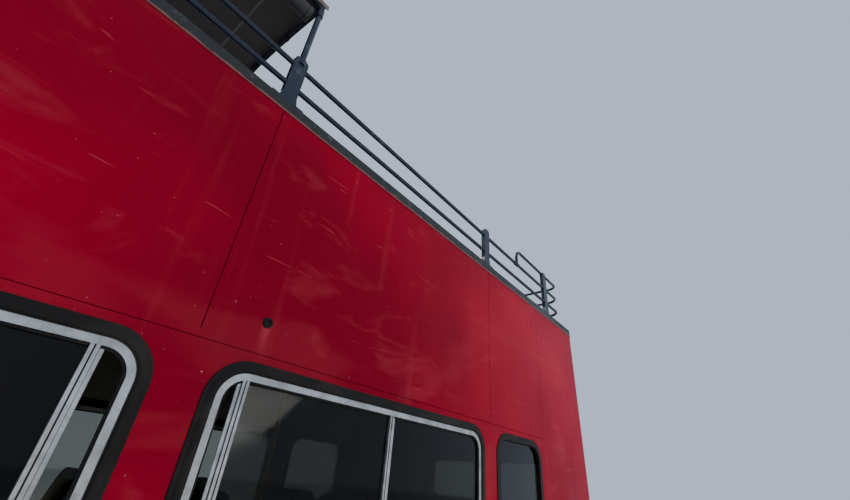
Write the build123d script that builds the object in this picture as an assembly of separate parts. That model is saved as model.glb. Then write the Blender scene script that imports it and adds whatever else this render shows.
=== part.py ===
from build123d import *

import os
from math import cos, pi, radians, sin, tan

# Open top double decker bus with two axles, a rear engine and a front entrance.
# The frame has +X to the front, +Y to the left and +Z up, with its origin on the ground
# under the middle of the vehicle. All sizes are in millimetres.

# Overall body
bus_length = 10700.0
body_width = 2500.0
body_half = body_width / 2
wall = 50.0
seat_gap = 0.3
tail_x = -5290.0
nose_x = 5290.0
bow = 60.0
seam_width = 4.0
seam_depth = 5.0
seam_foot = 37.0
arch_lip_width = 20.0
arch_lip_proud = 9.0
front_corner = 280.0
rear_corner = 160.0
front_split_x = 4760.0
rear_split_x = -4190.0
inner_half = body_half - wall

# Heights
skirt_z = 330.0
waist_z = 1150.0
cantrail_z = 2009.0
deck_edge_z = 3220.0
capping_top_z = 3300.0
floor_z = 640.0
floor_thick = 30.0
upper_floor_z = 2470.0
upper_floor_thick = 40.0
nose_at_cantrail = 5230.0
nose_at_deck_edge = 5150.0

# Axles and wheels
rear_axle_x = -2930.0
front_axle_x = 2710.0
hub_z = 520.0
tyre_radius = 520.0
tyre_half_width = 138.0
bead_radius = 290.0
rim_half_width = 115.0
wheel_y = 1095.0
twin_pitch = 320.0
kingpin_y = 925.0
arch_radius = 580.0
stub_radius = 45.0
stub_clearance = 0.08
steer_angle = 38.0

# Side windows: an aluminium frame in a black rubber surround
bay_pitch = 2070.0
pillar_x = -1207.0
window_width = 1812.0
window_top_z = 1932.0
window_sill_z = 1170.0
frame_radius = 110.0
frame_face = 26.0
rubber_face = 46.0
rubber_depth = 30.0
rubber_proud = 5.0
frame_depth = 40.0
frame_proud = 2.0
glass_thick = 6.0
stile_depth = 12.0

# Entrance on the left, just behind the front corner
door_rear_x = 3400.0
door_front_x = 4640.0
door_bottom_z = 345.0
door_top_z = 2150.0
door_thick = 40.0
door_clear = 10.0
well_floor_z = 332.0
well_depth = 610.0
door_open_angle = 88.0

# Emergency door on the right
exit_rear_x = -1010.0
exit_front_x = -290.0
exit_bottom_z = 600.0
exit_top_z = 1960.0
exit_thick = 40.0
exit_clear = 8.0
exit_pin_radius = 9.0

# Engine bay and its lid at the tail
bay_front_x = -4170.0
bay_top_z = 1380.0
lid_half = 860.0
lid_bottom_z = 480.0
lid_top_z = 1350.0
lid_clear = 8.0
lid_thick = 40.0
lid_corner = 40.0
lid_pin_radius = 8.0

# Guard rails and canopy
rail_y = 1225.0
rail_radius = 15.0
rail_levels = (3435.0, 3603.0)
rear_rail_level = 3775.0
stanchion_width = 84.0
stanchion_thick = 34.0
stanchion_top_z = 3670.0
stanchion_over_rail = 25.0
rail_end_x = -4960.0
rail_bend = 110.0
rear_post_x = -4560.0
top_rail_start = -3900.0
rail_front_x = 4850.0
drop_bend = 90.0
tee_length = 56.0
tee_radius = 20.0
eave_z = 4262.0
eave_size = 34.0
post_radius = 18.0
canopy_crown = 170.0
canopy_thick = 6.0
canopy_overhang = 6.0
canopy_lip = 30.0
canopy_front_x = 4640.0

pillars = [pillar_x + i * bay_pitch for i in range(-1, 3)]
post_places = pillars[1:] + [canopy_front_x]


# Small builders shared by the pieces


def block(x0, x1, y0, y1, z0, z1):
    """A box between two corners."""
    return Pos((x0 + x1) / 2, (y0 + y1) / 2, (z0 + z1) / 2) * Box(abs(x1 - x0), abs(y1 - y0), abs(z1 - z0))


def side_prism(x0, x1, z0, z1, radius, y0, y1):
    """A rounded rectangle seen from the side, carried across from y0 to y1."""
    face = RectangleRounded(x1 - x0, z1 - z0, radius)
    plane = Plane(origin=((x0 + x1) / 2, min(y0, y1), (z0 + z1) / 2), x_dir=(1, 0, 0), z_dir=(0, 1, 0))
    return extrude(plane * face, amount=abs(y1 - y0))


def end_prism(y0, y1, z0, z1, radius, x0, x1):
    """A rounded rectangle seen from the front, carried along from x0 to x1."""
    face = RectangleRounded(y1 - y0, z1 - z0, radius)
    plane = Plane(origin=(min(x0, x1), (y0 + y1) / 2, (z0 + z1) / 2), x_dir=(0, 1, 0), z_dir=(1, 0, 0))
    return extrude(plane * face, amount=abs(x1 - x0))


def bar_x(x0, x1, y, z, radius):
    """A round bar along the vehicle."""
    return Pos((x0 + x1) / 2, y, z) * Rot(0, 90, 0) * Cylinder(radius, abs(x1 - x0))


def bar_y(y0, y1, x, z, radius):
    """A round bar across the vehicle."""
    return Pos(x, (y0 + y1) / 2, z) * Rot(90, 0, 0) * Cylinder(radius, abs(y1 - y0))


def bar_z(z0, z1, x, y, radius):
    """An upright round bar."""
    return Pos(x, y, (z0 + z1) / 2) * Cylinder(radius, abs(z1 - z0))


def tube(points, bend, radius):
    """A round tube along straight runs with equal bends between them."""
    path = FilletPolyline(*points, radius=bend)
    return sweep(Plane(path @ 0, z_dir=path % 0) * Circle(radius), path=path)


def outline_xz(points, y0, y1):
    """A straight-sided outline in the side view, carried from y0 to y1."""
    plane = Plane(origin=(0, min(y0, y1), 0), x_dir=(1, 0, 0), z_dir=(0, -1, 0))
    return extrude(plane * make_face(Polyline(*points, close=True)), amount=-abs(y1 - y0))


def outline_yz(points, x0, x1):
    """A straight-sided outline in the end view, carried from x0 to x1."""
    plane = Plane(origin=(min(x0, x1), 0, 0), x_dir=(0, 1, 0), z_dir=(1, 0, 0))
    return extrude(plane * make_face(Polyline(*points, close=True)), amount=abs(x1 - x0))


def spun(points, y, x=0.0, z=0.0):
    """A turned piece about a crosswise axis: points are (radius, distance along +Y)."""
    face = make_face(Polyline(*[(r, d) for r, d in points], close=True))
    turned = revolve(face, Axis.Y, 360)
    return Pos(x, y, z) * turned


def fused(shapes):
    """All the shapes joined into as few solids as they make."""
    return shapes[0].fuse(*shapes[1:])


def save(name, *shapes):
    """Writes one node, holding one or more solids."""
    solids = [s for shape in shapes for s in shape.solids()]
    export_step(Compound(children=solids) if len(solids) > 1 else solids[0], f"parts/{name}.step")


# Plan outline of the body, with rounded tail corners and a bowed front


def plan(nose, inset=0.0):
    half = body_half - inset
    back, front = tail_x + inset, nose - inset
    shoulder = front - bow
    ring = [
        Line((back, -half), (shoulder, -half)),
        ThreePointArc((shoulder, -half), (front, 0), (shoulder, half)),
        Line((shoulder, half), (back, half)),
        Line((back, half), (back, -half)),
    ]
    face = make_face(ring)
    at_front = face.vertices().group_by(Axis.X)[-1]
    face = fillet(at_front, front_corner - inset)
    at_back = face.vertices().group_by(Axis.X)[0]
    return fillet(at_back, rear_corner - inset)


def plan_prism(nose, inset, z0, z1):
    return extrude(Pos(0, 0, z0) * plan(nose, inset), amount=z1 - z0)


def plan_ring(nose, outer_inset, inner_inset, z0, z1):
    return plan_prism(nose, outer_inset, z0, z1) - plan_prism(nose, inner_inset, z0, z1)


# Noses at each level of the body, so that the front leans back above the waist
front_levels = (
    # height, nose
    (skirt_z, nose_x),
    (waist_z, nose_x),
    (cantrail_z, nose_at_cantrail),
    (deck_edge_z, nose_at_deck_edge),
)


def front_skin(outer_inset, inner_inset, low, high):
    """A wall between two offsets of the raked front, from one of its levels to a higher one."""
    levels = front_levels[low : high + 1]

    def body(inset):
        return loft([Pos(0, 0, z) * plan(nose, inset) for z, nose in levels], ruled=True)

    reach = body_half + 100
    keep = block(front_split_x, nose_x + 100, -reach, reach, skirt_z - 100, deck_edge_z + 100)
    return (body(outer_inset) - body(inner_inset)) & keep


os.makedirs("parts", exist_ok=True)

# Side windows
wide_windows = (
    # middle x, places of the two stiles as shares of the width from the rear end
    (pillar_x - bay_pitch / 2, (0.487, 0.945)),
    (pillar_x + bay_pitch / 2, (0.075, 0.52)),
    (pillar_x + 3 * bay_pitch / 2, (0.49, 0.93)),
)
small_window = (-4090.0, -3355.0)
quarter_window = (3010.0, 3760.0)
cab_window = (3900.0, 4700.0)
exit_side_window = (-150.0, 725.0)


def rubber_box(x0, x1):
    """Outer size of a window's rubber, from the size of its frame."""
    return (x0 - rubber_face, x1 + rubber_face, window_sill_z - rubber_face, window_top_z + rubber_face)


def span(middle):
    return (middle - window_width / 2, middle + window_width / 2)


left_frames = [(span(m), stiles) for m, stiles in wide_windows]
right_frames = [
    (span(wide_windows[0][0]), wide_windows[0][1]),
    (exit_side_window, ()),
    (span(wide_windows[2][0]), wide_windows[2][1]),
    (quarter_window, ()),
    (cab_window, (0.5,)),
]
small_frame = (small_window[0] + rubber_face, small_window[1] - rubber_face)


def window_opening(x0, x1, side):
    cut_y = (side * (inner_half - 10), side * (body_half + 10))
    return side_prism(*rubber_box(x0, x1), frame_radius + rubber_face, *cut_y)


def window_rubber(x0, x1, side):
    a, b, c, d = rubber_box(x0, x1)
    y0, y1 = side * (body_half - rubber_depth), side * (body_half + rubber_proud)
    outer = side_prism(
        a + seat_gap, b - seat_gap, c + seat_gap, d - seat_gap, frame_radius + rubber_face - seat_gap, y0, y1
    )
    inner = side_prism(x0, x1, window_sill_z, window_top_z, frame_radius, y0, y1)
    return outer - inner


def window_frame(x0, x1, stiles, side):
    y0, y1 = side * (body_half - frame_depth), side * (body_half + frame_proud)
    outer = side_prism(
        x0 + seat_gap,
        x1 - seat_gap,
        window_sill_z + seat_gap,
        window_top_z - seat_gap,
        frame_radius - seat_gap,
        y0,
        y1,
    )
    f = frame_face
    ring = outer - side_prism(x0 + f, x1 - f, window_sill_z + f, window_top_z - f, frame_radius - f, y0, y1)
    for share in stiles:
        middle = x0 + share * (x1 - x0)
        post = block(
            middle - f / 2,
            middle + f / 2,
            side * (body_half - stile_depth),
            side * (body_half + frame_proud),
            window_sill_z + f / 2,
            window_top_z - f / 2,
        )
        ring = ring + post
    return ring


def window_glass(x0, x1, stiles, side):
    """Panes behind the stiles; a slid pane leaves the strip beside its outer stile open."""
    f = frame_face
    pane_outer = side * (body_half - stile_depth - seat_gap)
    pane_inner = pane_outer - side * glass_thick
    whole = side_prism(
        x0 + f + seat_gap,
        x1 - f - seat_gap,
        window_sill_z + f + seat_gap,
        window_top_z - f - seat_gap,
        frame_radius - f - seat_gap,
        pane_inner,
        pane_outer,
    )
    places = sorted(x0 + share * (x1 - x0) for share in stiles)
    if len(places) < 2:
        return whole
    low_cut = places[0] - f / 2 if places[0] - x0 < x1 - places[1] else x0
    high_cut = places[1] + f / 2 if places[0] - x0 > x1 - places[1] else x1
    return whole & block(low_cut, high_cut, side * (inner_half - 10), side * (body_half + 10), 0, deck_edge_z)


def arch_cut(axle_x, side):
    hole = bar_y(side * (inner_half - 20), side * (body_half + 20), axle_x, hub_z, arch_radius)
    slot = block(
        axle_x - arch_radius,
        axle_x + arch_radius,
        side * (inner_half - 20),
        side * (body_half + 20),
        skirt_z - 20,
        hub_z,
    )
    return hole + slot


def arch_lip(axle_x, side):
    """A rounded-over band that stands proud round the wheel arch."""
    radius = arch_radius + arch_lip_width
    y0, y1 = side * (body_half - wall / 2), side * (body_half + arch_lip_proud)
    round_part = bar_y(y0, y1, axle_x, hub_z, radius)
    straight_part = block(axle_x - radius, axle_x + radius, y0, y1, skirt_z, hub_z)
    above_skirt = block(axle_x - radius, axle_x + radius, y0, y1, skirt_z, hub_z + radius)
    return (round_part + straight_part) & above_skirt


# Lower side walls, with their windows, wheel arches and door openings
for side, name, frames in ((1, "left", left_frames), (-1, "right", right_frames)):
    panel = block(rear_split_x, front_split_x, side * inner_half, side * body_half, skirt_z, cantrail_z)
    for (x0, x1), _ in frames:
        panel = panel - window_opening(x0, x1, side)
    panel = panel - window_opening(*small_frame, side)
    for axle_x in (front_axle_x, rear_axle_x):
        panel = panel + arch_lip(axle_x, side) - arch_cut(axle_x, side)
    if side > 0:
        panel = panel - block(
            door_rear_x, door_front_x, inner_half - 10, body_half + 10, skirt_z - 10, cantrail_z + 10
        )
    else:
        panel = panel - side_prism(
            exit_rear_x, exit_front_x, exit_bottom_z, exit_top_z, 60, -inner_half + 10, -body_half - 10
        )
    save(f"side_lower_{name}", panel)

# Upper side walls: sheets that meet in narrow seams over the pillars and along the cantrail
seam_floor_y = body_half - seam_depth
for side, name in ((1, "left"), (-1, "right")):
    panel = block(
        rear_split_x, front_split_x, side * inner_half, side * body_half, cantrail_z + seam_width, deck_edge_z
    )
    panel = panel + block(
        rear_split_x, front_split_x, side * inner_half, side * seam_floor_y, cantrail_z, deck_edge_z
    )
    for x in (*pillars, rear_split_x):
        panel = panel - block(
            x - seam_width / 2,
            x + seam_width / 2,
            side * seam_floor_y,
            side * (body_half + 10),
            cantrail_z + seam_foot,
            deck_edge_z + 10,
        )
    if side > 0:
        panel = panel - block(
            door_rear_x, door_front_x, inner_half - 10, body_half + 10, cantrail_z - 10, door_top_z
        )
    save(f"side_upper_{name}", panel)

# Tail: a wall that wraps both corners, with louvres low on each side
louvre_x = (-4900.0, -4300.0)
louvre_z = (640.0, 1120.0)
louvre_count = 9
louvre_slant = 35.0
louvre_slat = (46.0, 5.0)
behind_split = block(
    tail_x - 100, rear_split_x, -body_half - 100, body_half + 100, skirt_z - 100, deck_edge_z + 100
)
rear_lower = plan_ring(nose_x, 0, wall, skirt_z, cantrail_z) & behind_split
rear_lower = rear_lower - end_prism(
    -lid_half, lid_half, lid_bottom_z, lid_top_z, lid_corner, tail_x - 20, tail_x + wall + 20
)
tail_window_half = 760.0
tail_window_z = (1480.0, 1910.0)
tail_window_radius = 90.0
tail_rubber = 28.0
rear_lower = rear_lower - end_prism(
    -tail_window_half, tail_window_half, *tail_window_z, tail_window_radius, tail_x - 20, tail_x + wall + 20
)
lamp_y = 985.0
tail_lamp_levels = (760.0, 900.0, 1040.0)
tail_lamp_radius = 55.0
for y in (lamp_y, -lamp_y):
    for z in tail_lamp_levels:
        rear_lower = rear_lower - bar_x(tail_x - 20, tail_x + wall + 20, y, z, tail_lamp_radius)
for side in (1, -1):
    cut_y = (side * (inner_half - 10), side * (body_half + 10))
    rear_lower = rear_lower - side_prism(*louvre_x, *louvre_z, 30, *cut_y)
    step = (louvre_z[1] - louvre_z[0]) / louvre_count
    slat = Rot(-side * louvre_slant, 0, 0) * Box(louvre_x[1] - louvre_x[0] + 8, *louvre_slat)
    for i in range(louvre_count):
        slat_z = louvre_z[0] + (i + 0.5) * step
        rear_lower = rear_lower + Pos(sum(louvre_x) / 2, side * (body_half - wall / 2), slat_z) * slat
save("rear_lower", rear_lower)

rear_upper = plan_ring(nose_x, 0, wall, cantrail_z, deck_edge_z) & behind_split
save("rear_upper", rear_upper)

# Front: lower wall with the windscreen and lamps, upper wall with the destination opening
screen_half = 1090.0
screen_sill_z = 1190.0
screen_top_z = 1955.0
screen_radius = 110.0
screen_rubber = 28.0
blind_half = 640.0
blind_z = (2560.0, 2860.0)
head_lamp_radius = 92.0
lens_depth = 70.0
lens_set_back = 50.0
head_lamps = ((620.0, 830.0), (840.0, 830.0))
grille_slots = 5
grille_half = 430.0
grille_low_z = 740.0
grille_pitch = 46.0
grille_slot = 22.0
front_lower = front_skin(0, wall, 0, 2)
front_lower = front_lower - end_prism(
    -screen_half, screen_half, screen_sill_z, screen_top_z, screen_radius, front_split_x + 60, nose_x + 60
)
for y, z in head_lamps:
    for s in (1, -1):
        front_lower = front_lower - bar_x(nose_x - 200, nose_x + 50, s * y, z, head_lamp_radius)
for row in range(grille_slots):
    slot_low = grille_low_z + row * grille_pitch
    front_lower = front_lower - end_prism(
        -grille_half,
        grille_half,
        slot_low,
        slot_low + grille_slot,
        grille_slot / 2 - 1,
        nose_x - 120,
        nose_x + 50,
    )
save("front_lower", front_lower)

front_upper = front_skin(0, wall, 2, 3)
front_upper = front_upper - end_prism(-blind_half, blind_half, *blind_z, 30, front_split_x + 60, nose_x + 60)
save("front_upper", front_upper)

# Glass of the front: the windscreen, the destination pane and the deck screen
screen_inset = (14.0, 22.0)
deck_screen_z = (capping_top_z + seat_gap, 3860.0)
pane_shell = front_skin(*screen_inset, 1, 2)
windscreen = pane_shell & end_prism(
    -screen_half + screen_rubber,
    screen_half - screen_rubber,
    screen_sill_z + screen_rubber,
    screen_top_z - screen_rubber,
    screen_radius - screen_rubber,
    front_split_x + 60,
    nose_x + 60,
)
blind_glass = front_skin(*screen_inset, 2, 3) & end_prism(
    -blind_half + seat_gap,
    blind_half - seat_gap,
    blind_z[0] + seat_gap,
    blind_z[1] - seat_gap,
    30 - seat_gap,
    front_split_x + 60,
    nose_x + 60,
)
ahead = block(4860.0, nose_x, -body_half, body_half, capping_top_z, eave_z)
screen_ring_inset = (28.0, 36.0)
deck_screen = plan_ring(nose_at_deck_edge, *screen_ring_inset, *deck_screen_z) & ahead
deck_screen_trim = (24.0, 40.0)
deck_screen_rail_z = (deck_screen_z[1] + seat_gap, deck_screen_z[1] + 26)
deck_screen_rail = plan_ring(nose_at_deck_edge, *deck_screen_trim, *deck_screen_rail_z) & ahead

# Rubber round the windscreen, standing a little proud
screen_rubber_ring = front_skin(-4, 30, 1, 2) & (
    end_prism(
        -screen_half + seat_gap,
        screen_half - seat_gap,
        screen_sill_z + seat_gap,
        screen_top_z - seat_gap,
        screen_radius - seat_gap,
        front_split_x + 60,
        nose_x + 60,
    )
    - end_prism(
        -screen_half + screen_rubber - seat_gap,
        screen_half - screen_rubber + seat_gap,
        screen_sill_z + screen_rubber - seat_gap,
        screen_top_z - screen_rubber + seat_gap,
        screen_radius - screen_rubber + seat_gap,
        front_split_x + 60,
        nose_x + 60,
    )
)

# Tail window, held in its own rubber
tail_rubber_x = (tail_x - rubber_proud, tail_x + rubber_depth)
tail_rubber_ring = end_prism(
    -tail_window_half + seat_gap,
    tail_window_half - seat_gap,
    tail_window_z[0] + seat_gap,
    tail_window_z[1] - seat_gap,
    tail_window_radius - seat_gap,
    *tail_rubber_x,
) - end_prism(
    -tail_window_half + tail_rubber,
    tail_window_half - tail_rubber,
    tail_window_z[0] + tail_rubber,
    tail_window_z[1] - tail_rubber,
    tail_window_radius - tail_rubber,
    *tail_rubber_x,
)
tail_pane = end_prism(
    -tail_window_half + tail_rubber + seat_gap,
    tail_window_half - tail_rubber - seat_gap,
    tail_window_z[0] + tail_rubber + seat_gap,
    tail_window_z[1] - tail_rubber - seat_gap,
    tail_window_radius - tail_rubber - seat_gap,
    tail_x + stile_depth,
    tail_x + stile_depth + glass_thick,
)

rubbers, frames_out = [screen_rubber_ring, tail_rubber_ring], []
panes = [windscreen, blind_glass, deck_screen, tail_pane]
for side, frames in ((1, left_frames), (-1, right_frames)):
    for (x0, x1), stiles in frames:
        rubbers.append(window_rubber(x0, x1, side))
        frames_out.append(window_frame(x0, x1, stiles, side))
        panes.append(window_glass(x0, x1, stiles, side))
    rubbers.append(window_rubber(*small_frame, side))
    y0 = side * (body_half - 18)
    panes.append(
        side_prism(
            small_frame[0] + seat_gap,
            small_frame[1] - seat_gap,
            window_sill_z + seat_gap,
            window_top_z - seat_gap,
            frame_radius - seat_gap,
            y0,
            y0 - side * glass_thick,
        )
    )
save("window_rubbers", *rubbers)
save("window_frames", *frames_out)
save("body_glass", *panes)

# Lower floor, with the wheel boxes and the entrance well cut out of it
floor_front_x = 4900.0
box_front_half = 632.0
box_rear_half = 590.0
box_inner_y = 590.0
box_skin = 10.0
box_top_z = 1080.0
wheel_boxes = []
floor_slab = block(bay_front_x, floor_front_x, -inner_half, inner_half, floor_z - floor_thick, floor_z)
well_x = (door_rear_x - 20, door_front_x + 20)
well_inner_y = inner_half - well_depth + 20
floor_slab = floor_slab - block(*well_x, well_inner_y, inner_half + 10, floor_z - 100, floor_z + 10)
for axle_x, half in ((front_axle_x, box_front_half), (rear_axle_x, box_rear_half)):
    for side in (1, -1):
        outer = block(
            axle_x - half - box_skin,
            axle_x + half + box_skin,
            side * (box_inner_y - box_skin),
            side * inner_half,
            floor_z - floor_thick,
            box_top_z + box_skin,
        )
        inner = block(
            axle_x - half, axle_x + half, side * box_inner_y, side * (inner_half + 10), 0, box_top_z
        )
        floor_slab = floor_slab - outer
        wheel_boxes.append(outer - inner)
save("lower_floor", floor_slab)
well_skin = 12.0
entrance_well = (
    block(*well_x, well_inner_y, inner_half, well_floor_z - well_skin, floor_z - floor_thick)
    - block(
        well_x[0] + well_skin,
        well_x[1] - well_skin,
        well_inner_y + well_skin,
        inner_half + 10,
        well_floor_z,
        floor_z + 10,
    )
)
bulkhead = block(bay_front_x - 30, bay_front_x, -inner_half, inner_half, floor_z - floor_thick, bay_top_z)
shelf_half = inner_half - rear_corner
bulkhead = bulkhead + block(tail_x + wall, bay_front_x, -shelf_half, shelf_half, bay_top_z, bay_top_z + 25)
save("wheel_boxes", *wheel_boxes, entrance_well, bulkhead)

# Upper floor, with the stairwell on the right
stair_x = (1320.0, 3050.0)
stair_y = (-1190.0, -590.0)
stairwell_x = (1450.0, 3090.0)
stairwell_y = -560.0
upper_floor = plan_prism(
    nose_at_cantrail - 38, wall, upper_floor_z - upper_floor_thick, upper_floor_z
) - block(*stairwell_x, -inner_half - 10, stairwell_y, upper_floor_z - 100, upper_floor_z + 10)
# Its boards butt together at the two ends of the stairwell
for x in stairwell_x:
    upper_floor = upper_floor - block(
        x - seat_gap / 2,
        x + seat_gap / 2,
        -body_half,
        body_half,
        upper_floor_z - 100,
        upper_floor_z + 10,
    )
save("upper_floor", upper_floor)

# Staircase: folded treads between two strings, climbing forward over the right front wheel
stair_steps = 8
rise = (upper_floor_z - floor_z) / stair_steps
going = (stair_x[1] - stair_x[0]) / (stair_steps - 1)
plate = 30.0
top_line, under_line = [], []
for i in range(stair_steps - 1):
    x, z = stair_x[0] + i * going, floor_z + i * rise
    top_line += [(x, z), (x, z + rise)]
    under_line += [(x + plate, z), (x + plate, z + rise - plate)]
end_x, end_z = stair_x[1], floor_z + (stair_steps - 1) * rise
tread_points = [*top_line, (end_x, end_z), (end_x, end_z - plate), *reversed(under_line)]
treads = outline_xz(tread_points, stair_y[0] + 20, stair_y[1] - 20)
string_points = [
    (stair_x[0] - 10, floor_z),
    (stair_x[0] - 10, floor_z + rise + 60),
    (end_x, end_z + 90),
    (end_x, end_z - 160),
    (stair_x[0] + 190, floor_z),
]
strings = [
    outline_xz(string_points, stair_y[0], stair_y[0] + 20),
    outline_xz(string_points, stair_y[1] - 20, stair_y[1]),
]
staircase = treads + strings[0] + strings[1]
save("staircase", staircase)

# Chassis: two side members with cross members, the fuel tank and the battery box
rail_half = 430.0
spring_seat_z = 398.0
tow_eye_x = 5230.0
tow_eye_z = (294.0, 324.0)
tow_eye_radius = 43.0
tow_hole_radius = 22.0
rail_web = 70.0
rail_z = (450.0, floor_z - floor_thick)
member_front_x = 4860.0
member_back_x = -5180.0
cross_members = (-5100.0, -4140.0, -3600.0, -2260.0, -1100.0, 100.0, 1300.0, 2050.0, 3380.0, 4700.0)
chassis = None
for side in (1, -1):
    member_y = (side * (rail_half - rail_web / 2), side * (rail_half + rail_web / 2))
    member = block(member_back_x, member_front_x, *member_y, *rail_z)
    chassis = member if chassis is None else chassis + member
for x in cross_members:
    chassis = chassis + block(x - 40, x + 40, -rail_half, rail_half, rail_z[0] + 25, rail_z[1] - 25)
outriggers = (-3900.0, -1900.0, -700.0, 500.0, 1700.0)
for x in outriggers:
    for side in (1, -1):
        chassis = chassis + outline_yz(
            [
                (side * rail_half, rail_z[1] - 110),
                (side * rail_half, rail_z[1]),
                (side * inner_half, rail_z[1]),
                (side * inner_half, rail_z[1] - 45),
            ],
            x - 25,
            x + 25,
        )
# Leaf springs under the side members, one pack over each axle's seat
spring_half = 760.0
spring_half_width = 35.0
spring_eye = 14.0


def leaf_pack(axle_x, side):
    """One bowed pack: its ends meet the side member and its middle sits on the axle."""
    low, top = spring_seat_z + seat_gap, rail_z[0]
    points = [
        (axle_x - spring_half, top + 2),
        (axle_x - spring_half, top - spring_eye),
        (axle_x - 90, low),
        (axle_x + 90, low),
        (axle_x + spring_half, top - spring_eye),
        (axle_x + spring_half, top + 2),
        (axle_x + spring_half - 60, top + 2),
        (axle_x + 90, low + 34),
        (axle_x - 90, low + 34),
        (axle_x - spring_half + 60, top + 2),
    ]
    return outline_xz(points, side * rail_half - spring_half_width, side * rail_half + spring_half_width)


for axle_x in (front_axle_x, rear_axle_x):
    for side in (1, -1):
        chassis = chassis + leaf_pack(axle_x, side)
for end_x, member_x in ((tow_eye_x, member_front_x), (-tow_eye_x, member_back_x)):
    inner_x = member_x - 150 if end_x > 0 else member_x + 150
    for side in (1, -1):
        y0, y1 = side * (rail_half - tow_eye_radius), side * (rail_half + tow_eye_radius)
        eye = block(inner_x, end_x, y0, y1, *tow_eye_z)
        eye = eye + bar_z(*tow_eye_z, end_x, side * rail_half, tow_eye_radius)
        eye = eye + block(inner_x, member_x, y0 + side * 8, y1 - side * 8, tow_eye_z[0], rail_z[0] + 20)
        eye = eye - bar_z(tow_eye_z[0] - 10, tow_eye_z[1] + 10, end_x, side * rail_half, tow_hole_radius)
        chassis = chassis + eye

# Exhaust: a silencer hung under the rearmost outrigger, and its pipe out under the bumper
silencer_y = 620.0
silencer_z = 424.0
silencer_radius = 90.0
silencer_x = (-4080.0, -3580.0)
tail_pipe_z = 298.0
tail_pipe_radius = 30.0
tail_pipe_end_x = -5320.0
hanger_half = (25.0, 20.0)
silencer = bar_x(*silencer_x, silencer_y, silencer_z, silencer_radius)
tail_pipe = tube(
    [
        (silencer_x[0] + 60, silencer_y, silencer_z),
        (silencer_x[0] - 220, silencer_y, silencer_z),
        (silencer_x[0] - 420, silencer_y, tail_pipe_z),
        (tail_pipe_end_x, silencer_y, tail_pipe_z),
    ],
    120,
    tail_pipe_radius,
)
hanger = block(
    outriggers[0] - hanger_half[0],
    outriggers[0] + hanger_half[0],
    silencer_y - hanger_half[1],
    silencer_y + hanger_half[1],
    silencer_z,
    rail_z[1] - 60,
)
chassis = chassis + silencer + tail_pipe + hanger

# Fuel tank on the right and battery box on the left, against the side members
member_face_y = rail_half + rail_web / 2
under_box_top_z = rail_z[1] - 20
under_box_outer_y = 1130.0
tank = side_prism(-620.0, 420.0, 372.0, under_box_top_z, 60, -under_box_outer_y, -member_face_y)
battery_box = side_prism(-620.0, 120.0, 400.0, under_box_top_z, 25, member_face_y, under_box_outer_y)
save("chassis_frame", chassis, tank, battery_box)

# Engine, set across the tail, as one plain block on the side members
engine_x = (-5080.0, -4330.0)
engine = block(*engine_x, -720.0, 720.0, rail_z[1], 1260.0)
angle_drive = block(engine_x[1] - 190, engine_x[1], -330.0, -90.0, 250.0, rail_z[1])
save("engine_block", engine + angle_drive)

# Front axle beam, dropped between its kingpin eyes
beam_half_x = 50.0
beam_depth = 100.0
eye_radius = 55.0
eye_z = (hub_z - 50, hub_z + 50)
kingpin_radius = 25.0
beam_points = [
    (-kingpin_y, eye_z[0]),
    (-kingpin_y, eye_z[1]),
    (-kingpin_y + 90, eye_z[1]),
    (-640.0, spring_seat_z),
    (640.0, spring_seat_z),
    (kingpin_y - 90, eye_z[1]),
    (kingpin_y, eye_z[1]),
    (kingpin_y, eye_z[0]),
    (kingpin_y - 90, eye_z[0] - 20),
    (700.0, spring_seat_z - beam_depth),
    (-700.0, spring_seat_z - beam_depth),
    (-kingpin_y + 90, eye_z[0] - 20),
]
front_axle = outline_yz(beam_points, front_axle_x - beam_half_x, front_axle_x + beam_half_x)
for side in (1, -1):
    front_axle = front_axle - block(
        front_axle_x - 60, front_axle_x + 60, side * (kingpin_y - 62), side * (kingpin_y + 10), 0, hub_z + 200
    )
    eye = bar_z(*eye_z, front_axle_x, side * kingpin_y, eye_radius)
    neck = block(
        front_axle_x - 40, front_axle_x + 40, side * (kingpin_y - 90), side * (kingpin_y - 30), *eye_z
    )
    bore_z = (eye_z[0] - 10, eye_z[1] + 10)
    bore = bar_z(*bore_z, front_axle_x, side * kingpin_y, kingpin_radius + stub_clearance)
    front_axle = front_axle + eye + neck - bore
save("front_axle", front_axle)

# Rear axle with a dropped middle, its drive housing and hub carriers
tube_radius = 62.0
drop_z = spring_seat_z - tube_radius
carrier_y = (475.0, 575.0)
carrier_radius = 82.0
drive_y = (-360.0, -60.0)
rear_axle = bar_y(-carrier_y[1] + 10, carrier_y[1] - 10, rear_axle_x, drop_z, tube_radius)
rear_axle = rear_axle + bar_y(*drive_y, rear_axle_x, drop_z, 165)
drive_nose_x = rear_axle_x - 290
rear_axle = rear_axle + Pos(rear_axle_x - 190, sum(drive_y) / 2, drop_z) * Rot(0, -90, 0) * Cone(90, 60, 200)
drive_shaft_radius = 42.0
drive_flange_radius = 70.0
drive_flange_thick = 24.0
drive_shaft_x = (engine_x[1] + seat_gap, drive_nose_x + 5)
rear_axle = rear_axle + bar_x(*drive_shaft_x, sum(drive_y) / 2, drop_z, drive_shaft_radius)
for flange_x in (drive_shaft_x[0], drive_nose_x - drive_flange_thick):
    rear_axle = rear_axle + bar_x(
        flange_x, flange_x + drive_flange_thick, sum(drive_y) / 2, drop_z, drive_flange_radius
    )
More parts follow.
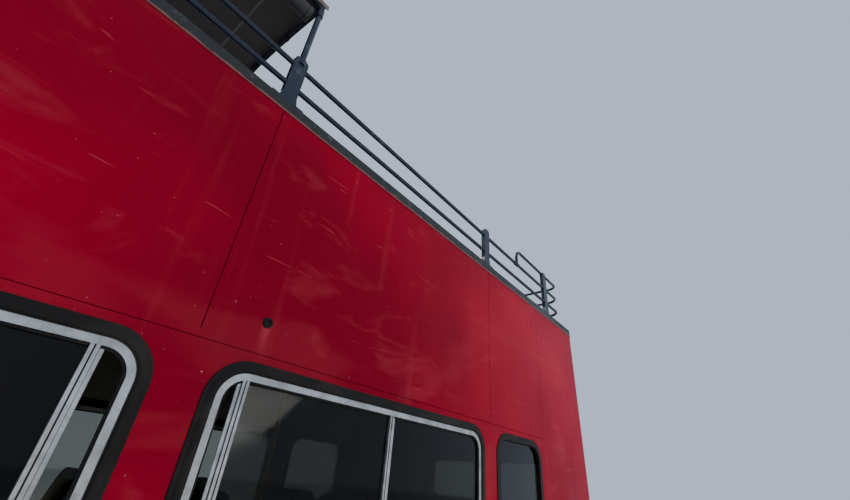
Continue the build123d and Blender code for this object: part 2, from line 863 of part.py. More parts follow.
for side in (1, -1):
    box_y = (side * carrier_y[0], side * carrier_y[1])
    for z in (drop_z, hub_z):
        rear_axle = rear_axle + bar_y(*box_y, rear_axle_x, z, carrier_radius)
    box_x = (rear_axle_x - carrier_radius, rear_axle_x + carrier_radius)
    rear_axle = rear_axle + block(*box_x, *box_y, drop_z, hub_z)
    rear_axle = rear_axle + bar_y(
        side * (carrier_y[1] - 5), side * (wheel_y - twin_pitch / 2 + 90), rear_axle_x, hub_z, stub_radius
    )
save("rear_axle", rear_axle)

# Knuckles: a fork round the axle's eye, with its pin and stub
fork_gap = 2.0
fork_z = (eye_z[0] - 45, eye_z[1] + 45)
stub_end_y = 1150.0
steer_arm = 170.0
rod_z = 372.0
rod_radius = 14.0
rod_pin_radius = 10.0
for side, name in ((1, "left"), (-1, "right")):
    pin = bar_z(*fork_z, front_axle_x, side * kingpin_y, kingpin_radius)
    knuckle = pin
    for z0, z1 in ((fork_z[0], eye_z[0] - fork_gap), (eye_z[1] + fork_gap, fork_z[1])):
        knuckle = knuckle + bar_z(z0, z1, front_axle_x, side * kingpin_y, eye_radius - 5)
        knuckle = knuckle + block(
            front_axle_x - 42, front_axle_x + 42, side * kingpin_y, side * (kingpin_y + 88), z0, z1
        )
    knuckle = knuckle + block(
        front_axle_x - 42, front_axle_x + 42, side * (kingpin_y + 66), side * (kingpin_y + 88), *fork_z
    )
    knuckle = knuckle + bar_y(
        side * (kingpin_y + 80), side * stub_end_y, front_axle_x, hub_z, stub_radius
    )
    arm_x = front_axle_x - steer_arm
    knuckle = knuckle + block(
        arm_x - 22, front_axle_x, side * (kingpin_y - 22), side * (kingpin_y + 22), fork_z[0], fork_z[0] + 26
    )
    knuckle = knuckle + bar_z(rod_z - rod_radius - 10, fork_z[0] + 5, arm_x, side * kingpin_y, rod_pin_radius)
    save(f"knuckle_{name}", knuckle)
rod_x = front_axle_x - steer_arm
rod_end_radius = 24.0
rod_end_half = rod_radius + 4
track_rod = bar_y(-kingpin_y, kingpin_y, rod_x, rod_z, rod_radius)
for side in (1, -1):
    end = bar_z(rod_z - rod_end_half, rod_z + rod_end_half, rod_x, side * kingpin_y, rod_end_radius)
    bore = bar_z(rod_z - 30, rod_z + 30, rod_x, side * kingpin_y, rod_pin_radius + stub_clearance)
    track_rod = track_rod + end - bore
save("track_rod", track_rod)

# Wheels
tyre_bead = bead_radius + seat_gap
flange_radius = bead_radius + 24
tyre_points = [
    (tyre_bead, -rim_half_width + 11 + seat_gap),
    (flange_radius + 2, -rim_half_width + 11 + seat_gap),
    (flange_radius + 12, -rim_half_width - 4),
    (400.0, -tyre_half_width),
    (470.0, -tyre_half_width + 4),
    (508.0, -tyre_half_width + 18),
    (tyre_radius, -tyre_half_width + 44),
]
tyre_points = tyre_points + [(r, -d) for r, d in reversed(tyre_points)]


def tyre(x, y):
    return spun(tyre_points, y, x, hub_z)


def barrel(shift):
    """Section of a rim's barrel with its two flanges, as points about its middle plane."""
    w = rim_half_width
    outer = [
        (flange_radius, -w),
        (flange_radius, -w + 9),
        (bead_radius, -w + 11),
        (bead_radius - 3, -20.0),
        (bead_radius - 3, 20.0),
        (bead_radius, w - 11),
        (flange_radius, w - 9),
        (flange_radius, w),
    ]
    inner = [(bead_radius - 16, w), (bead_radius - 18, 0.0), (bead_radius - 16, -w)]
    return [(r, d + shift) for r, d in outer + inner]


hand_holes = 10
hand_hole_radius = 27.0
hand_hole_circle = 205.0


def wheel_centre(disc_points, hub_points, x, y, side, hole_span):
    """Disc and hub turned about the axle, with a ring of hand holes."""
    disc = spun([(r, side * d) for r, d in disc_points], y, x, hub_z)
    hub = spun([(r, side * d) for r, d in hub_points], y, x, hub_z)
    centre = disc + hub
    for i in range(hand_holes):
        a = 2 * pi * i / hand_holes
        hx, hz = x + hand_hole_circle * cos(a), hub_z + hand_hole_circle * sin(a)
        centre = centre - bar_y(y + side * hole_span[0], y + side * hole_span[1], hx, hz, hand_hole_radius)
    return centre


bore_radius = stub_radius + stub_clearance
rim_edge = bead_radius - 17
front_disc = [
    # radius, distance out from the wheel's middle
    (110.0, 62.0),
    (165.0, 62.0),
    (225.0, 52.0),
    (rim_edge + 3, 20.0),
    (rim_edge + 3, 6.0),
    (222.0, 38.0),
    (165.0, 48.0),
    (110.0, 48.0),
]
front_hub = [
    # radius, distance out from the wheel's middle
    (bore_radius, -76.0),
    (95.0, -76.0),
    (112.0, 20.0),
    (112.0, 62.0),
    (88.0, 70.0),
    (84.0, 105.0),
    (70.0, 112.0),
    (0.0, 114.0),
    (0.0, 60.0),
    (bore_radius, 60.0),
]
for side, name in ((1, "left"), (-1, "right")):
    y = side * wheel_y
    save(f"tyre_front_{name}", tyre(front_axle_x, y))
    rim = spun(barrel(0), y, front_axle_x, hub_z) + wheel_centre(
        front_disc, front_hub, front_axle_x, y, side, (0.0, 80.0)
    )
    save(f"rim_front_{name}", rim)

# The twin rear wheel turns as one, its two discs bolted face to face between the tyres
twin_half = twin_pitch / 2
rear_disc = [
    (110.0, 11.0),
    (175.0, 11.0),
    (235.0, 22.0),
    (rim_edge + 3, 60.0),
    (rim_edge + 3, 46.0),
    (242.0, 6.0),
    (242.0, -6.0),
    (rim_edge + 3, -46.0),
    (rim_edge + 3, -60.0),
    (235.0, -22.0),
    (175.0, -11.0),
    (110.0, -11.0),
]
rear_hub = [
    # radius, distance out from the pair's middle
    (bore_radius, -120.0),
    (125.0, -120.0),
    (125.0, 40.0),
    (112.0, 48.0),
    (104.0, 190.0),
    (92.0, 204.0),
    (0.0, 210.0),
    (0.0, 100.0),
    (bore_radius, 100.0),
]
for side, name in ((1, "left"), (-1, "right")):
    y_mid = side * (wheel_y - twin_half)
    save(
        f"tyres_rear_{name}",
        tyre(rear_axle_x, y_mid + side * twin_half),
        tyre(rear_axle_x, y_mid - side * twin_half),
    )
    rim = spun(barrel(twin_half), y_mid, rear_axle_x, hub_z)
    rim = rim + spun(barrel(-twin_half), y_mid, rear_axle_x, hub_z)
    rim = rim + wheel_centre(rear_disc, rear_hub, rear_axle_x, y_mid, side, (-60.0, 60.0))
    save(f"rims_rear_{name}", rim)

# Black capping round the deck edge
capping = plan_ring(nose_at_deck_edge, -5, 62, deck_edge_z, capping_top_z)
capping = chamfer(capping.edges().group_by(Axis.Z)[-1], 8)
# It comes in two straight lengths and two bent ones, butted beyond the first and last stanchions
capping_joints = (-5090.0, 4790.0)
for x in capping_joints:
    capping = capping - block(
        x - seat_gap / 2,
        x + seat_gap / 2,
        -body_half - 20,
        body_half + 20,
        deck_edge_z - 10,
        capping_top_z + 10,
    )
save("deck_capping", capping)

# Guard rails: flat stanchions on the capping, with bars between them
stanchion_places = [rear_post_x, pillars[0], *pillars[1:], canopy_front_x]
stanchion_y = (rail_y - stanchion_thick / 2, rail_y + stanchion_thick / 2)
rail_parts = []
for level in rail_levels:
    rail_parts.append(
        tube(
            [
                (rail_front_x, rail_y, level),
                (rail_end_x, rail_y, level),
                (rail_end_x, -rail_y, level),
                (rail_front_x, -rail_y, level),
            ],
            rail_bend,
            rail_radius,
        )
    )
rail_parts.append(
    tube(
        [
            (top_rail_start, rail_y, rail_levels[1]),
            (top_rail_start, rail_y, rear_rail_level),
            (rail_end_x, rail_y, rear_rail_level),
            (rail_end_x, -rail_y, rear_rail_level),
            (top_rail_start, -rail_y, rear_rail_level),
            (top_rail_start, -rail_y, rail_levels[1]),
        ],
        drop_bend,
        rail_radius,
    )
)
foot_length = 190.0
foot_width = 58.0
foot_thick = 8.0
foot_taper = 60.0
head_radius = 26.0
collar_radius = 27.0
collar_height = 46.0


def stanchion(x, side, top):
    """A flat post on its foot plate: it widens to its foot, and its head is rounded."""
    low = capping_top_z + seat_gap
    y0, y1 = side * stanchion_y[0], side * stanchion_y[1]
    half = stanchion_width / 2
    post = side_prism(x - half, x + half, low, top, head_radius, y0, y1) + block(
        x - half, x + half, y0, y1, low, low + 2 * head_radius
    )
    flare = outline_xz(
        [
            (x - half - 14, low),
            (x + half + 14, low),
            (x + half, low + foot_taper),
            (x - half, low + foot_taper),
        ],
        y0,
        y1,
    )
    foot = block(
        x - foot_length / 2,
        x + foot_length / 2,
        side * (rail_y - foot_width / 2),
        side * min(rail_y + foot_width / 2, body_half - 3),
        low,
        low + foot_thick,
    )
    return post + flare + foot


for side in (1, -1):
    for x in stanchion_places:
        tall = x == rear_post_x
        top = rear_rail_level + stanchion_over_rail if tall else stanchion_top_z
        rail_parts.append(stanchion(x, side, top))
        if x in post_places:
            collar_z = (stanchion_top_z - collar_height, stanchion_top_z)
            rail_parts.append(bar_z(*collar_z, x, side * rail_y, collar_radius))
    tee_x = (top_rail_start - tee_length / 2, top_rail_start + tee_length / 2)
    rail_parts.append(bar_x(*tee_x, side * rail_y, rail_levels[1], tee_radius))
cross_posts = (-520.0, 520.0)
for y in cross_posts:
    rail_parts.append(
        block(
            rail_end_x - stanchion_thick / 2,
            rail_end_x + stanchion_thick / 2,
            y - stanchion_width / 2,
            y + stanchion_width / 2,
            upper_floor_z,
            rear_rail_level + stanchion_over_rail,
        )
    )

# Stair guard: rails behind the stairwell and along its aisle side, open where the stairs arrive
guard_x = (stairwell_x[0] - 60, stairwell_x[1] + 40)
guard_y = (-inner_half + 60, stairwell_y + 50)
guard_levels = (upper_floor_z + 480, upper_floor_z + 900)
guard_radius = 16.0
guard_bend = 90.0
guard_foot_radius = 38.0
guard_foot_thick = 6.0
guard_parts = []
for level in guard_levels:
    corners = ((guard_x[0], guard_y[0]), (guard_x[0], guard_y[1]), (guard_x[1], guard_y[1]))
    corner_points = [(x, y, level) for x, y in corners]
    guard_parts.append(tube(corner_points, guard_bend, guard_radius))
guard_posts = (
    # x, y
    (guard_x[0], guard_y[0] + guard_foot_radius),
    (guard_x[0] + guard_bend + 40, guard_y[1]),
    (sum(guard_x) / 2, guard_y[1]),
    (guard_x[1] - guard_foot_radius, guard_y[1]),
)
for x, y in guard_posts:
    guard_parts.append(bar_z(upper_floor_z, guard_levels[-1], x, y, guard_radius - 1))
    guard_parts.append(bar_z(upper_floor_z, upper_floor_z + guard_foot_thick, x, y, guard_foot_radius))

# The rail along the top of the deck screen belongs to the same set
save("guard_rails", fused(rail_parts), fused(guard_parts), deck_screen_rail)

# Canopy frame: posts on the stanchions, eaves along both sides and bowed hoops between them
hoop_size = 30.0
elbow_length = 120.0
elbow_bend = 62.0
elbow_radius = 23.0
elbow_z = eave_z + eave_size / 2 - elbow_radius
eave_inner_y = rail_y - eave_size / 2
hoop_places = sorted(post_places + [(a + b) / 2 for a, b in zip(post_places, post_places[1:])])
frame_parts = []
for side in (1, -1):
    for x in post_places:
        frame_parts.append(bar_z(stanchion_top_z, eave_z - eave_size / 2, x, side * rail_y, post_radius))
    frame_parts.append(
        block(
            post_places[0] + elbow_bend,
            post_places[-1] - elbow_bend,
            side * eave_inner_y,
            side * (rail_y + eave_size / 2),
            eave_z - eave_size / 2,
            eave_z + eave_size / 2,
        )
    )
    for corner_x, inward in ((post_places[0], 1), (post_places[-1], -1)):
        frame_parts.append(
            tube(
                [
                    (corner_x + inward * elbow_length, side * rail_y, elbow_z),
                    (corner_x, side * rail_y, elbow_z),
                    (corner_x, side * rail_y, elbow_z - elbow_length),
                ],
                elbow_bend,
                elbow_radius,
            )
        )


def bowed_strip(low_z, crown, thick, half, x0, x1):
    """A strip arched across the vehicle: its underside springs from low_z at the eaves."""
    under = [(-half, low_z), (0.0, low_z + crown), (half, low_z)]
    over = [(half, low_z + thick), (0.0, low_z + crown + thick), (-half, low_z + thick)]
    plane = Plane(origin=(x0, 0, 0), x_dir=(0, 1, 0), z_dir=(1, 0, 0))
    ring = [
        ThreePointArc(*under),
        Line(under[2], over[0]),
        ThreePointArc(*over),
        Line(over[2], under[0]),
    ]
    return extrude(plane * make_face(ring), amount=x1 - x0)


hoop_low_z = eave_z - hoop_size / 2
for x in hoop_places:
    hoop_x = (x - hoop_size / 2, x + hoop_size / 2)
    frame_parts.append(bowed_strip(hoop_low_z, canopy_crown, hoop_size, eave_inner_y, *hoop_x))
save("canopy_frame", fused(frame_parts))
canopy_low_z = eave_z + eave_size / 2 + seat_gap
hoop_top_z = eave_z + hoop_size / 2 + canopy_crown
canopy = bowed_strip(
    canopy_low_z,
    hoop_top_z + seat_gap - canopy_low_z,
    canopy_thick,
    rail_y + eave_size / 2 + canopy_overhang,
    post_places[0] - canopy_lip,
    post_places[-1] + canopy_lip,
)
save("canopy", canopy)
roll_radius = 55.0
roll_y = rail_y - post_radius - roll_radius - seat_gap
roll_z = eave_z - hoop_size / 2 - roll_radius - seat_gap
rolls = [
    bar_x(post_places[0] + 30, post_places[-1] - 30, side * roll_y, roll_z, roll_radius)
    for side in (1, -1)
]
save("curtain_rolls", *rolls)

# Entrance door: two leaves that fold inward together, pinned at the outer face of the fold
leaf_axis_y = body_half - 5 - door_thick / 2
leaf_axis_x = door_rear_x + 28.0
leaf_margin = 12.0
leaf_length = (door_front_x - 16.0 - leaf_margin - leaf_axis_x) / 2
fold_axis = (leaf_axis_x + leaf_length, leaf_axis_y + door_thick / 2 + 2)
fold_pin_radius = 5.7
leaf_y = (leaf_axis_y - door_thick / 2, leaf_axis_y + door_thick / 2)
leaf_z = (door_bottom_z + door_clear, door_top_z - door_clear)
leaf_spans = {
    "rear": (leaf_axis_x - leaf_margin, fold_axis[0] - fold_pin_radius + 1.2),
    "front": (fold_axis[0] + fold_pin_radius + seat_gap, fold_axis[0] + leaf_length + leaf_margin),
}
leaf_pivot_radius = 10.0
leaf_stile = 62.0
leaf_rail_bottom = 110.0
leaf_pane_split = (1130.0, 1190.0)
for name, (x0, x1) in leaf_spans.items():
    leaf = block(x0, x1, *leaf_y, *leaf_z)
    lights = (
        (leaf_z[0] + leaf_rail_bottom, leaf_pane_split[0]),
        (leaf_pane_split[1], leaf_z[1] - 70),
    )
    glasses = []
    for z0, z1 in lights:
        leaf = leaf - side_prism(x0 + leaf_stile, x1 - leaf_stile, z0, z1, 45, leaf_y[0] - 5, leaf_y[1] + 5)
        glasses.append(
            side_prism(
                x0 + leaf_stile + seat_gap,
                x1 - leaf_stile - seat_gap,
                z0 + seat_gap,
                z1 - seat_gap,
                45 - seat_gap,
                leaf_axis_y - 3,
                leaf_axis_y + 3,
            )
        )
    if name == "rear":
        leaf = leaf + bar_z(*leaf_z, *fold_axis, fold_pin_radius)
        for z0, z1 in ((well_floor_z + seat_gap, leaf_z[0] + 5), (leaf_z[1] - 5, door_top_z - seat_gap)):
            leaf = leaf + bar_z(z0, z1, leaf_axis_x, leaf_axis_y, leaf_pivot_radius)
    save(f"door_leaf_{name}", leaf)
    save(f"door_glass_{name}", *glasses)

# Emergency door on the right, hinged at its front edge and opening outward
exit_leaf_box = (
    exit_rear_x + exit_clear,
    exit_front_x - exit_clear,
    exit_bottom_z + exit_clear,
    exit_top_z - exit_clear,
)
exit_y = (-(body_half - 2 - exit_thick), -(body_half - 2))
exit_axis = (exit_front_x + 2, -(body_half + exit_pin_radius + 0.5))
exit_leaf = side_prism(*exit_leaf_box, 52, *exit_y)
exit_pane = (exit_rear_x + 90, exit_front_x - 90, window_sill_z + 20, exit_top_z - 100)
exit_leaf = exit_leaf - side_prism(*exit_pane, 60, exit_y[0] + 5, exit_y[1] - 5)
exit_handle = block(exit_rear_x + 40, exit_rear_x + 70, -(body_half - 4), -(body_half + 28), 1010.0, 1150.0)
exit_leaf = exit_leaf + exit_handle
for z in (760.0, 1720.0):
    exit_leaf = exit_leaf + bar_z(z - 45, z + 45, *exit_axis, exit_pin_radius)
    strap_y = (-(body_half - 4), exit_axis[1] + 3)
    exit_leaf = exit_leaf + block(exit_axis[0] - 70, exit_axis[0], *strap_y, z - 30, z + 30)
    exit_leaf = exit_leaf - block(
        exit_front_x - exit_clear, exit_axis[0] + 30, -(body_half - 60), -(body_half + 0.5), z - 50, z + 50
    )
save("emergency_door", exit_leaf)
save(
    "emergency_glass",
    side_prism(
        exit_pane[0] + seat_gap,
        exit_pane[1] - seat_gap,
        exit_pane[2] + seat_gap,
        exit_pane[3] - seat_gap,
        60 - seat_gap,
        -(body_half - 14),
        -(body_half - 20),
    ),
)

# Engine lid at the tail, hinged at its top edge, with louvred slots
lid_axis = (tail_x - 6.0, lid_top_z - lid_clear + 2)
lid = end_prism(
    -lid_half + lid_clear,
    lid_half - lid_clear,
    lid_bottom_z + lid_clear,
    lid_top_z - lid_clear,
    34,
    tail_x + 2,
    tail_x + 2 + lid_thick,
)
slot_rows = 7
slot_columns = 2
slot_size = (620.0, 26.0)
for row in range(slot_rows):
    for column in range(slot_columns):
        y = (column - 0.5) * (slot_size[0] + 110)
        z = lid_bottom_z + 190 + row * 68
        lid = lid - end_prism(
            y - slot_size[0] / 2, y + slot_size[0] / 2, z, z + slot_size[1], 10, tail_x - 10, tail_x + 60
        )
for y in (-600.0, 600.0):
    lid = lid + bar_y(y - 60, y + 60, *lid_axis, lid_pin_radius)
    lid = lid + block(tail_x - 6, tail_x + 4, y - 40, y + 40, lid_axis[1] - 50, lid_axis[1])
save("engine_lid", lid)

# Bumpers at both ends, wrapping the corners
bumper_front_z = (skirt_z + 5, 545.0)
bumper_rear_z = (skirt_z + 5, 462.0)
bumper_out = 60.0
front_bumper = plan_ring(nose_x, -bumper_out, -seat_gap, *bumper_front_z) & block(
    4700.0, nose_x + 200, -1400, 1400, 0, 1000
)
front_bumper = front_bumper & block(4700.0, nose_x + 200, -body_half - 40, body_half + 40, 0, 1000)
rear_bumper = plan_ring(nose_x, -bumper_out, -seat_gap, *bumper_rear_z) & block(
    tail_x - 200, -5060.0, -body_half - 40, body_half + 40, 0, 1000
)
save("bumpers", front_bumper, rear_bumper)

# Mirrors on bent arms at the front corners
mirror_parts = []
for side in (1, -1):
    arm = tube(
        [
            (4800.0, side * (body_half + seat_gap + 6), 2300.0),
            (4860.0, side * (body_half + 120), 2300.0),
            (5060.0, side * (body_half + 150), 2300.0),
            (5060.0, side * (body_half + 150), 1990.0),
        ],
        45,
        11,
    )
    head = end_prism(
        side * (body_half + 150) - 95, side * (body_half + 150) + 95, 1640.0, 1995.0, 40, 5030.0, 5085.0
    )
    foot_y = (side * (body_half + seat_gap), side * (body_half + 12))
    foot = side_prism(4765.0, 4835.0, 2255.0, 2345.0, 12, *foot_y)
    mirror_parts.append(arm + head + foot)
save("mirrors", *mirror_parts)

# Lamps
lamps = []
lens = Rot(0, 90, 0) * Cylinder(head_lamp_radius - seat_gap, lens_depth)
lens = fillet(lens.edges().group_by(Axis.X)[-1], 22)
for y, z in head_lamps:
    for side in (1, -1):
        lamps.append(Pos(nose_x - lens_set_back, side * y, z) * lens)
for y in (lamp_y, -lamp_y):
    for z in tail_lamp_levels:
        lamps.append(bar_x(tail_x - 12, tail_x + 40, y, z, tail_lamp_radius - seat_gap))
save("lamps", *lamps)

# Seats: moulded backs and pans in pairs each side of the aisle, each on its own pedestal
seat_width = 860.0
seat_middle_y = inner_half - 25 - seat_width / 2
seat_pitch = 720.0
seat_parting = 7.0
pan_height = 430.0
pan_thick = 34.0
pan_depth = 400.0
pan_radius = 70.0
pan_slope = 4.0
pan_nose = 60.0
back_height = 900.0
back_thick = 30.0
back_lean = 11.0
shoulder_radius = 80.0
leg_thick = 44.0
leg_top_x = (-90.0, 100.0)
leg_foot_x = (-140.0, 120.0)


def single_seat(x, y, base):
    """One person's back and pan; x is the pan's middle and base the floor under it."""
    half = seat_width / 4 - seat_parting
    pan = outline_xz(
        [
            (-pan_depth / 2, 0.0),
            (pan_depth / 2 - 12, 0.0),
            (pan_depth / 2, 8.0),
            (pan_depth / 2 - 10, pan_thick - 10),
            (pan_depth / 2 - pan_nose, pan_thick),
            (-pan_depth / 2, pan_thick),
        ],
        -half,
        half,
    )
    pan = pan & extrude(RectangleRounded(pan_depth, 2 * half, pan_radius), amount=pan_thick)
    pan_z = base + pan_height - pan_thick
    foot_x = -pan_depth / 2 * cos(radians(pan_slope)) - seat_gap
    foot_z = -pan_depth / 2 * sin(radians(pan_slope))
    back_length = (back_height - pan_height + pan_thick - foot_z) / cos(radians(back_lean))
    back = end_prism(-half, half, 0, back_length, shoulder_radius, -back_thick, 0)
    back = Pos(x + foot_x, y, pan_z + foot_z) * Rot(0, -back_lean, 0) * back
    return back, Pos(x, y, pan_z) * Rot(0, -pan_slope, 0) * pan


def seat_leg(x, y, base):
    """The pedestal under one pan, cut to the pan's slope."""
    top_z = base + pan_height - pan_thick - seat_gap
    rise = tan(radians(pan_slope))
    outline = [
        (x + leg_foot_x[0], base),
        (x + leg_foot_x[1], base),
        (x + leg_top_x[1], top_z + leg_top_x[1] * rise),
        (x + leg_top_x[0], top_z + leg_top_x[0] * rise),
    ]
    return outline_xz(outline, y - leg_thick / 2, y + leg_thick / 2)


seat_legs = []


def seat_pair(x, y, base):
    """Two seats side by side; their pedestals go to the list of legs."""
    shells = []
    for middle in (y - seat_width / 4, y + seat_width / 4):
        shells += single_seat(x, middle, base)
        seat_legs.append(seat_leg(x, middle, base))
    return shells


# Rows on the upper deck, with none on the right where the stairs come up and people step off
upper_row_count = 13
first_upper_row = rear_post_x + 210
behind_stairs = stairwell_x[0] - 350
before_stairs = stairwell_x[1] + 700
upper_seats = []
for i in range(upper_row_count):
    x = first_upper_row + i * seat_pitch
    upper_seats += seat_pair(x, seat_middle_y, upper_floor_z)
    if not behind_stairs < x < before_stairs:
        upper_seats += seat_pair(x, -seat_middle_y, upper_floor_z)
save("seats_upper", *upper_seats)

# Rows on the lower deck between the wheel boxes, clear of the emergency door on the right
box_behind = rear_axle_x + box_rear_half + box_skin
box_ahead = front_axle_x - box_front_half - box_skin
first_lower_row = -1960.0
lower_row_count = 6
knee_room = 270.0
seat_reach_back = pan_depth / 2 + 130
lower_rows = []
for i in range(lower_row_count):
    x = first_lower_row + i * seat_pitch
    if box_behind + seat_reach_back < x < box_ahead - knee_room:
        lower_rows.append(x)
lower_seats = []
for x in lower_rows:
    lower_seats += seat_pair(x, seat_middle_y, floor_z)
    at_exit = exit_rear_x - 230 < x < exit_front_x + 330
    if x < stair_x[0] - 400 and not at_exit:
        lower_seats += seat_pair(x, -seat_middle_y, floor_z)

# Cab: raised floor, dash, steering column and wheel, driver's seat and partition
driver_x, driver_y = 3990.0, -760.0
cab_floor_z = 830.0
cab_y = (-1190.0, -330.0)
cab_back_x = 3560.0
cab_base = block(cab_back_x, 4870.0, *cab_y, floor_z, cab_floor_z)
dash = outline_xz(
    [
        (4870.0, cab_floor_z),
        (4870.0, 1090.0),
        (4790.0, 1160.0),
        (4860.0, 1230.0),
        (5020.0, 1165.0),
        (5020.0, cab_floor_z),
    ],
    cab_y[0] + 110,
    cab_y[1],
)
column_tilt = 32.0
column_base = (4730.0, cab_floor_z)
column_length = 430.0
column_radius = 34.0
column_middle = (column_base[0] - 90, cab_floor_z + 190)
ring_middle = (
    column_middle[0] - column_length / 2 * sin(radians(column_tilt)),
    column_middle[1] + column_length / 2 * cos(radians(column_tilt)),
)
column = Rot(0, -column_tilt, 0) * Cylinder(column_radius, column_length)
column = Pos(column_middle[0], driver_y, column_middle[1]) * column
column = column & block(4000.0, 5200.0, *cab_y, cab_floor_z, 2000)
wheel_plane = Pos(ring_middle[0], driver_y, ring_middle[1]) * Rot(0, -column_tilt, 0)
steering_wheel = wheel_plane * Torus(225, 15)
steering_wheel = steering_wheel + wheel_plane * Cylinder(46, 34)
for i in range(3):
    steering_wheel = steering_wheel + wheel_plane * Rot(0, 0, 120 * i) * Pos(112, 0, 0) * Box(220, 26, 12)
driver_cushion_x = (-215.0, 255.0)
driver_cushion_z = (260.0, 380.0)
driver_half = 230.0
driver_back_length = 660.0
driver_back_thick = 90.0
driver_back_lean = 6.0
driver_corner = 60.0
driver_pedestal_half = (140.0, 150.0)
driver_pedestal = block(
    driver_x - driver_pedestal_half[0],
    driver_x + driver_pedestal_half[0],
    driver_y - driver_pedestal_half[1],
    driver_y + driver_pedestal_half[1],
    cab_floor_z,
    cab_floor_z + driver_cushion_z[0],
)
driver_cushion = extrude(
    Pos(sum(driver_cushion_x) / 2, 0, driver_cushion_z[0] + seat_gap)
    * RectangleRounded(driver_cushion_x[1] - driver_cushion_x[0], 2 * driver_half, driver_corner),
    amount=driver_cushion_z[1] - driver_cushion_z[0],
)
driver_back = end_prism(
    -driver_half, driver_half, 0, driver_back_length, driver_corner, -driver_back_thick, 0
)
back_foot = Pos(driver_cushion_x[0] - seat_gap, 0, driver_cushion_z[0])
driver_back = back_foot * Rot(0, -driver_back_lean, 0) * driver_back
driver_seat = [driver_pedestal]
for piece in (driver_cushion, driver_back):
    driver_seat.append(Pos(driver_x, driver_y, cab_floor_z) * piece)
partition = block(cab_back_x, cab_back_x + 20, *cab_y, cab_floor_z, 1900.0)
half_door = block(cab_back_x + 20, 4500.0, cab_y[1] - 22, cab_y[1], cab_floor_z, 1650.0)
save("seats_lower", *lower_seats, *driver_seat)
save("seat_legs", *seat_legs)
save("cab_fittings", cab_base + partition + half_door + dash + column + steering_wheel)

# Upright grab poles between the lower floor and the ceiling
pole_radius = 16.0
pole_y = seat_middle_y - seat_width / 2 - pole_radius - seat_gap
poles = []
for x in [lower_rows[0] + 2 * i * seat_pitch - 250 for i in range(3)]:
    for side in (1, -1):
        poles.append(bar_z(floor_z, upper_floor_z - upper_floor_thick, x, side * pole_y, pole_radius))
save("grab_poles", *poles)
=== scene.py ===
import random
from math import cos, hypot, pi, radians, sin, sqrt, tau

import bmesh
import bpy
from mathutils import Matrix, Vector


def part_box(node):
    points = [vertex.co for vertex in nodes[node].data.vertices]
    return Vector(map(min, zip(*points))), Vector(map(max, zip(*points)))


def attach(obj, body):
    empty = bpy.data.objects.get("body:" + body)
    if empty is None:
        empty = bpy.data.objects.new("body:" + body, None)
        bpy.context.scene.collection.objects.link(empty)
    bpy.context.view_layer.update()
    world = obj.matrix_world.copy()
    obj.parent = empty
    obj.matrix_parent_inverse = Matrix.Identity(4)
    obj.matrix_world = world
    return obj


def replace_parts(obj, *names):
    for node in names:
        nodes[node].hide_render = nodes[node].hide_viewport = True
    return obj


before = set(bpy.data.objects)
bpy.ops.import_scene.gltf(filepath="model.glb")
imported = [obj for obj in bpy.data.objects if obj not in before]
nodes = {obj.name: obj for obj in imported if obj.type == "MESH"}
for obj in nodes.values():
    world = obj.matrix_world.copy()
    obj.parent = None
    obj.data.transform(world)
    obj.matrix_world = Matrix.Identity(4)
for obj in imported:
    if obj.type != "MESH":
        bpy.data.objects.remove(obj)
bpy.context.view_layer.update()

# Camera. It stands on the kerb a metre and a half from the bus's left side, at the height
# of a person's eyes, and looks up and back along the side through a wide lens.
eye = Vector((-0.674, 2.75, 1.62))
turn_from_side = radians(49.243)
look_up = radians(30.965)
roll = radians(4.785)
photo_width_px = 850
focal_px = 386.54
sensor_mm = 36.0

forward = Vector(
    (-sin(turn_from_side) * cos(look_up), -cos(turn_from_side) * cos(look_up), sin(look_up))
)
level_right = forward.cross(Vector((0, 0, 1))).normalized()
level_up = level_right.cross(forward)
right = level_right * cos(roll) + level_up * sin(roll)
up = level_up * cos(roll) - level_right * sin(roll)
view = bpy.data.cameras.new("photo_view")
view.lens = focal_px / photo_width_px * sensor_mm
view.sensor_width = sensor_mm
view.clip_end = 200.0
camera = bpy.data.objects.new("photo_view", view)
camera.matrix_world = Matrix.Translation(eye) @ Matrix((right, up, -forward)).transposed().to_4x4()
bpy.context.scene.collection.objects.link(camera)
bpy.context.scene.camera = camera

# Studio. A plain pale floor, a pale surround and three wide soft lights: one high over the
# canopy as the sky, one low and broad on the kerb side, and one off the tail.
floor_reach = 60.0
floor_tone = (0.62, 0.62, 0.60)
surround_tone = (0.66, 0.76, 0.92, 1.0)
surround_strength = 0.85
soft_lights = (
    # name, place, aimed at, size, watts, whether gloss and glass mirror it
    ("sky_light", (2.0, -7.0, 17.0), (0.0, 0.0, 2.0), 12.0, 2400.0, True),
    ("kerb_light", (-6.5, 13.0, 5.0), (-2.0, 0.0, 2.0), 6.0, 1500.0, False),
    ("tail_light", (-15.0, 4.5, 7.5), (-3.0, 0.0, 2.2), 7.0, 800.0, False),
)


def link(piece):
    """Puts an object in the scene and hands it back."""
    bpy.context.scene.collection.objects.link(piece)
    return piece


def new_finish(name, colour, roughness, metallic=0.0):
    """A plain shader to build a finish on: the material, its node tree and the shader."""
    finish = bpy.data.materials.new(name)
    finish.use_nodes = True
    shader = finish.node_tree.nodes["Principled BSDF"]
    shader.inputs["Base Color"].default_value = (*colour, 1.0)
    shader.inputs["Roughness"].default_value = roughness
    shader.inputs["Metallic"].default_value = metallic
    return finish, finish.node_tree, shader


floor_mesh = bpy.data.meshes.new("studio_floor")
corner_signs = ((-1, -1), (1, -1), (1, 1), (-1, 1))
floor_corners = [(x * floor_reach, y * floor_reach, 0.0) for x, y in corner_signs]
floor_mesh.from_pydata(floor_corners, [], [(0, 1, 2, 3)])
studio_floor = link(bpy.data.objects.new("studio_floor", floor_mesh))
floor_mesh.materials.append(new_finish("pale_floor", floor_tone, 0.8)[0])

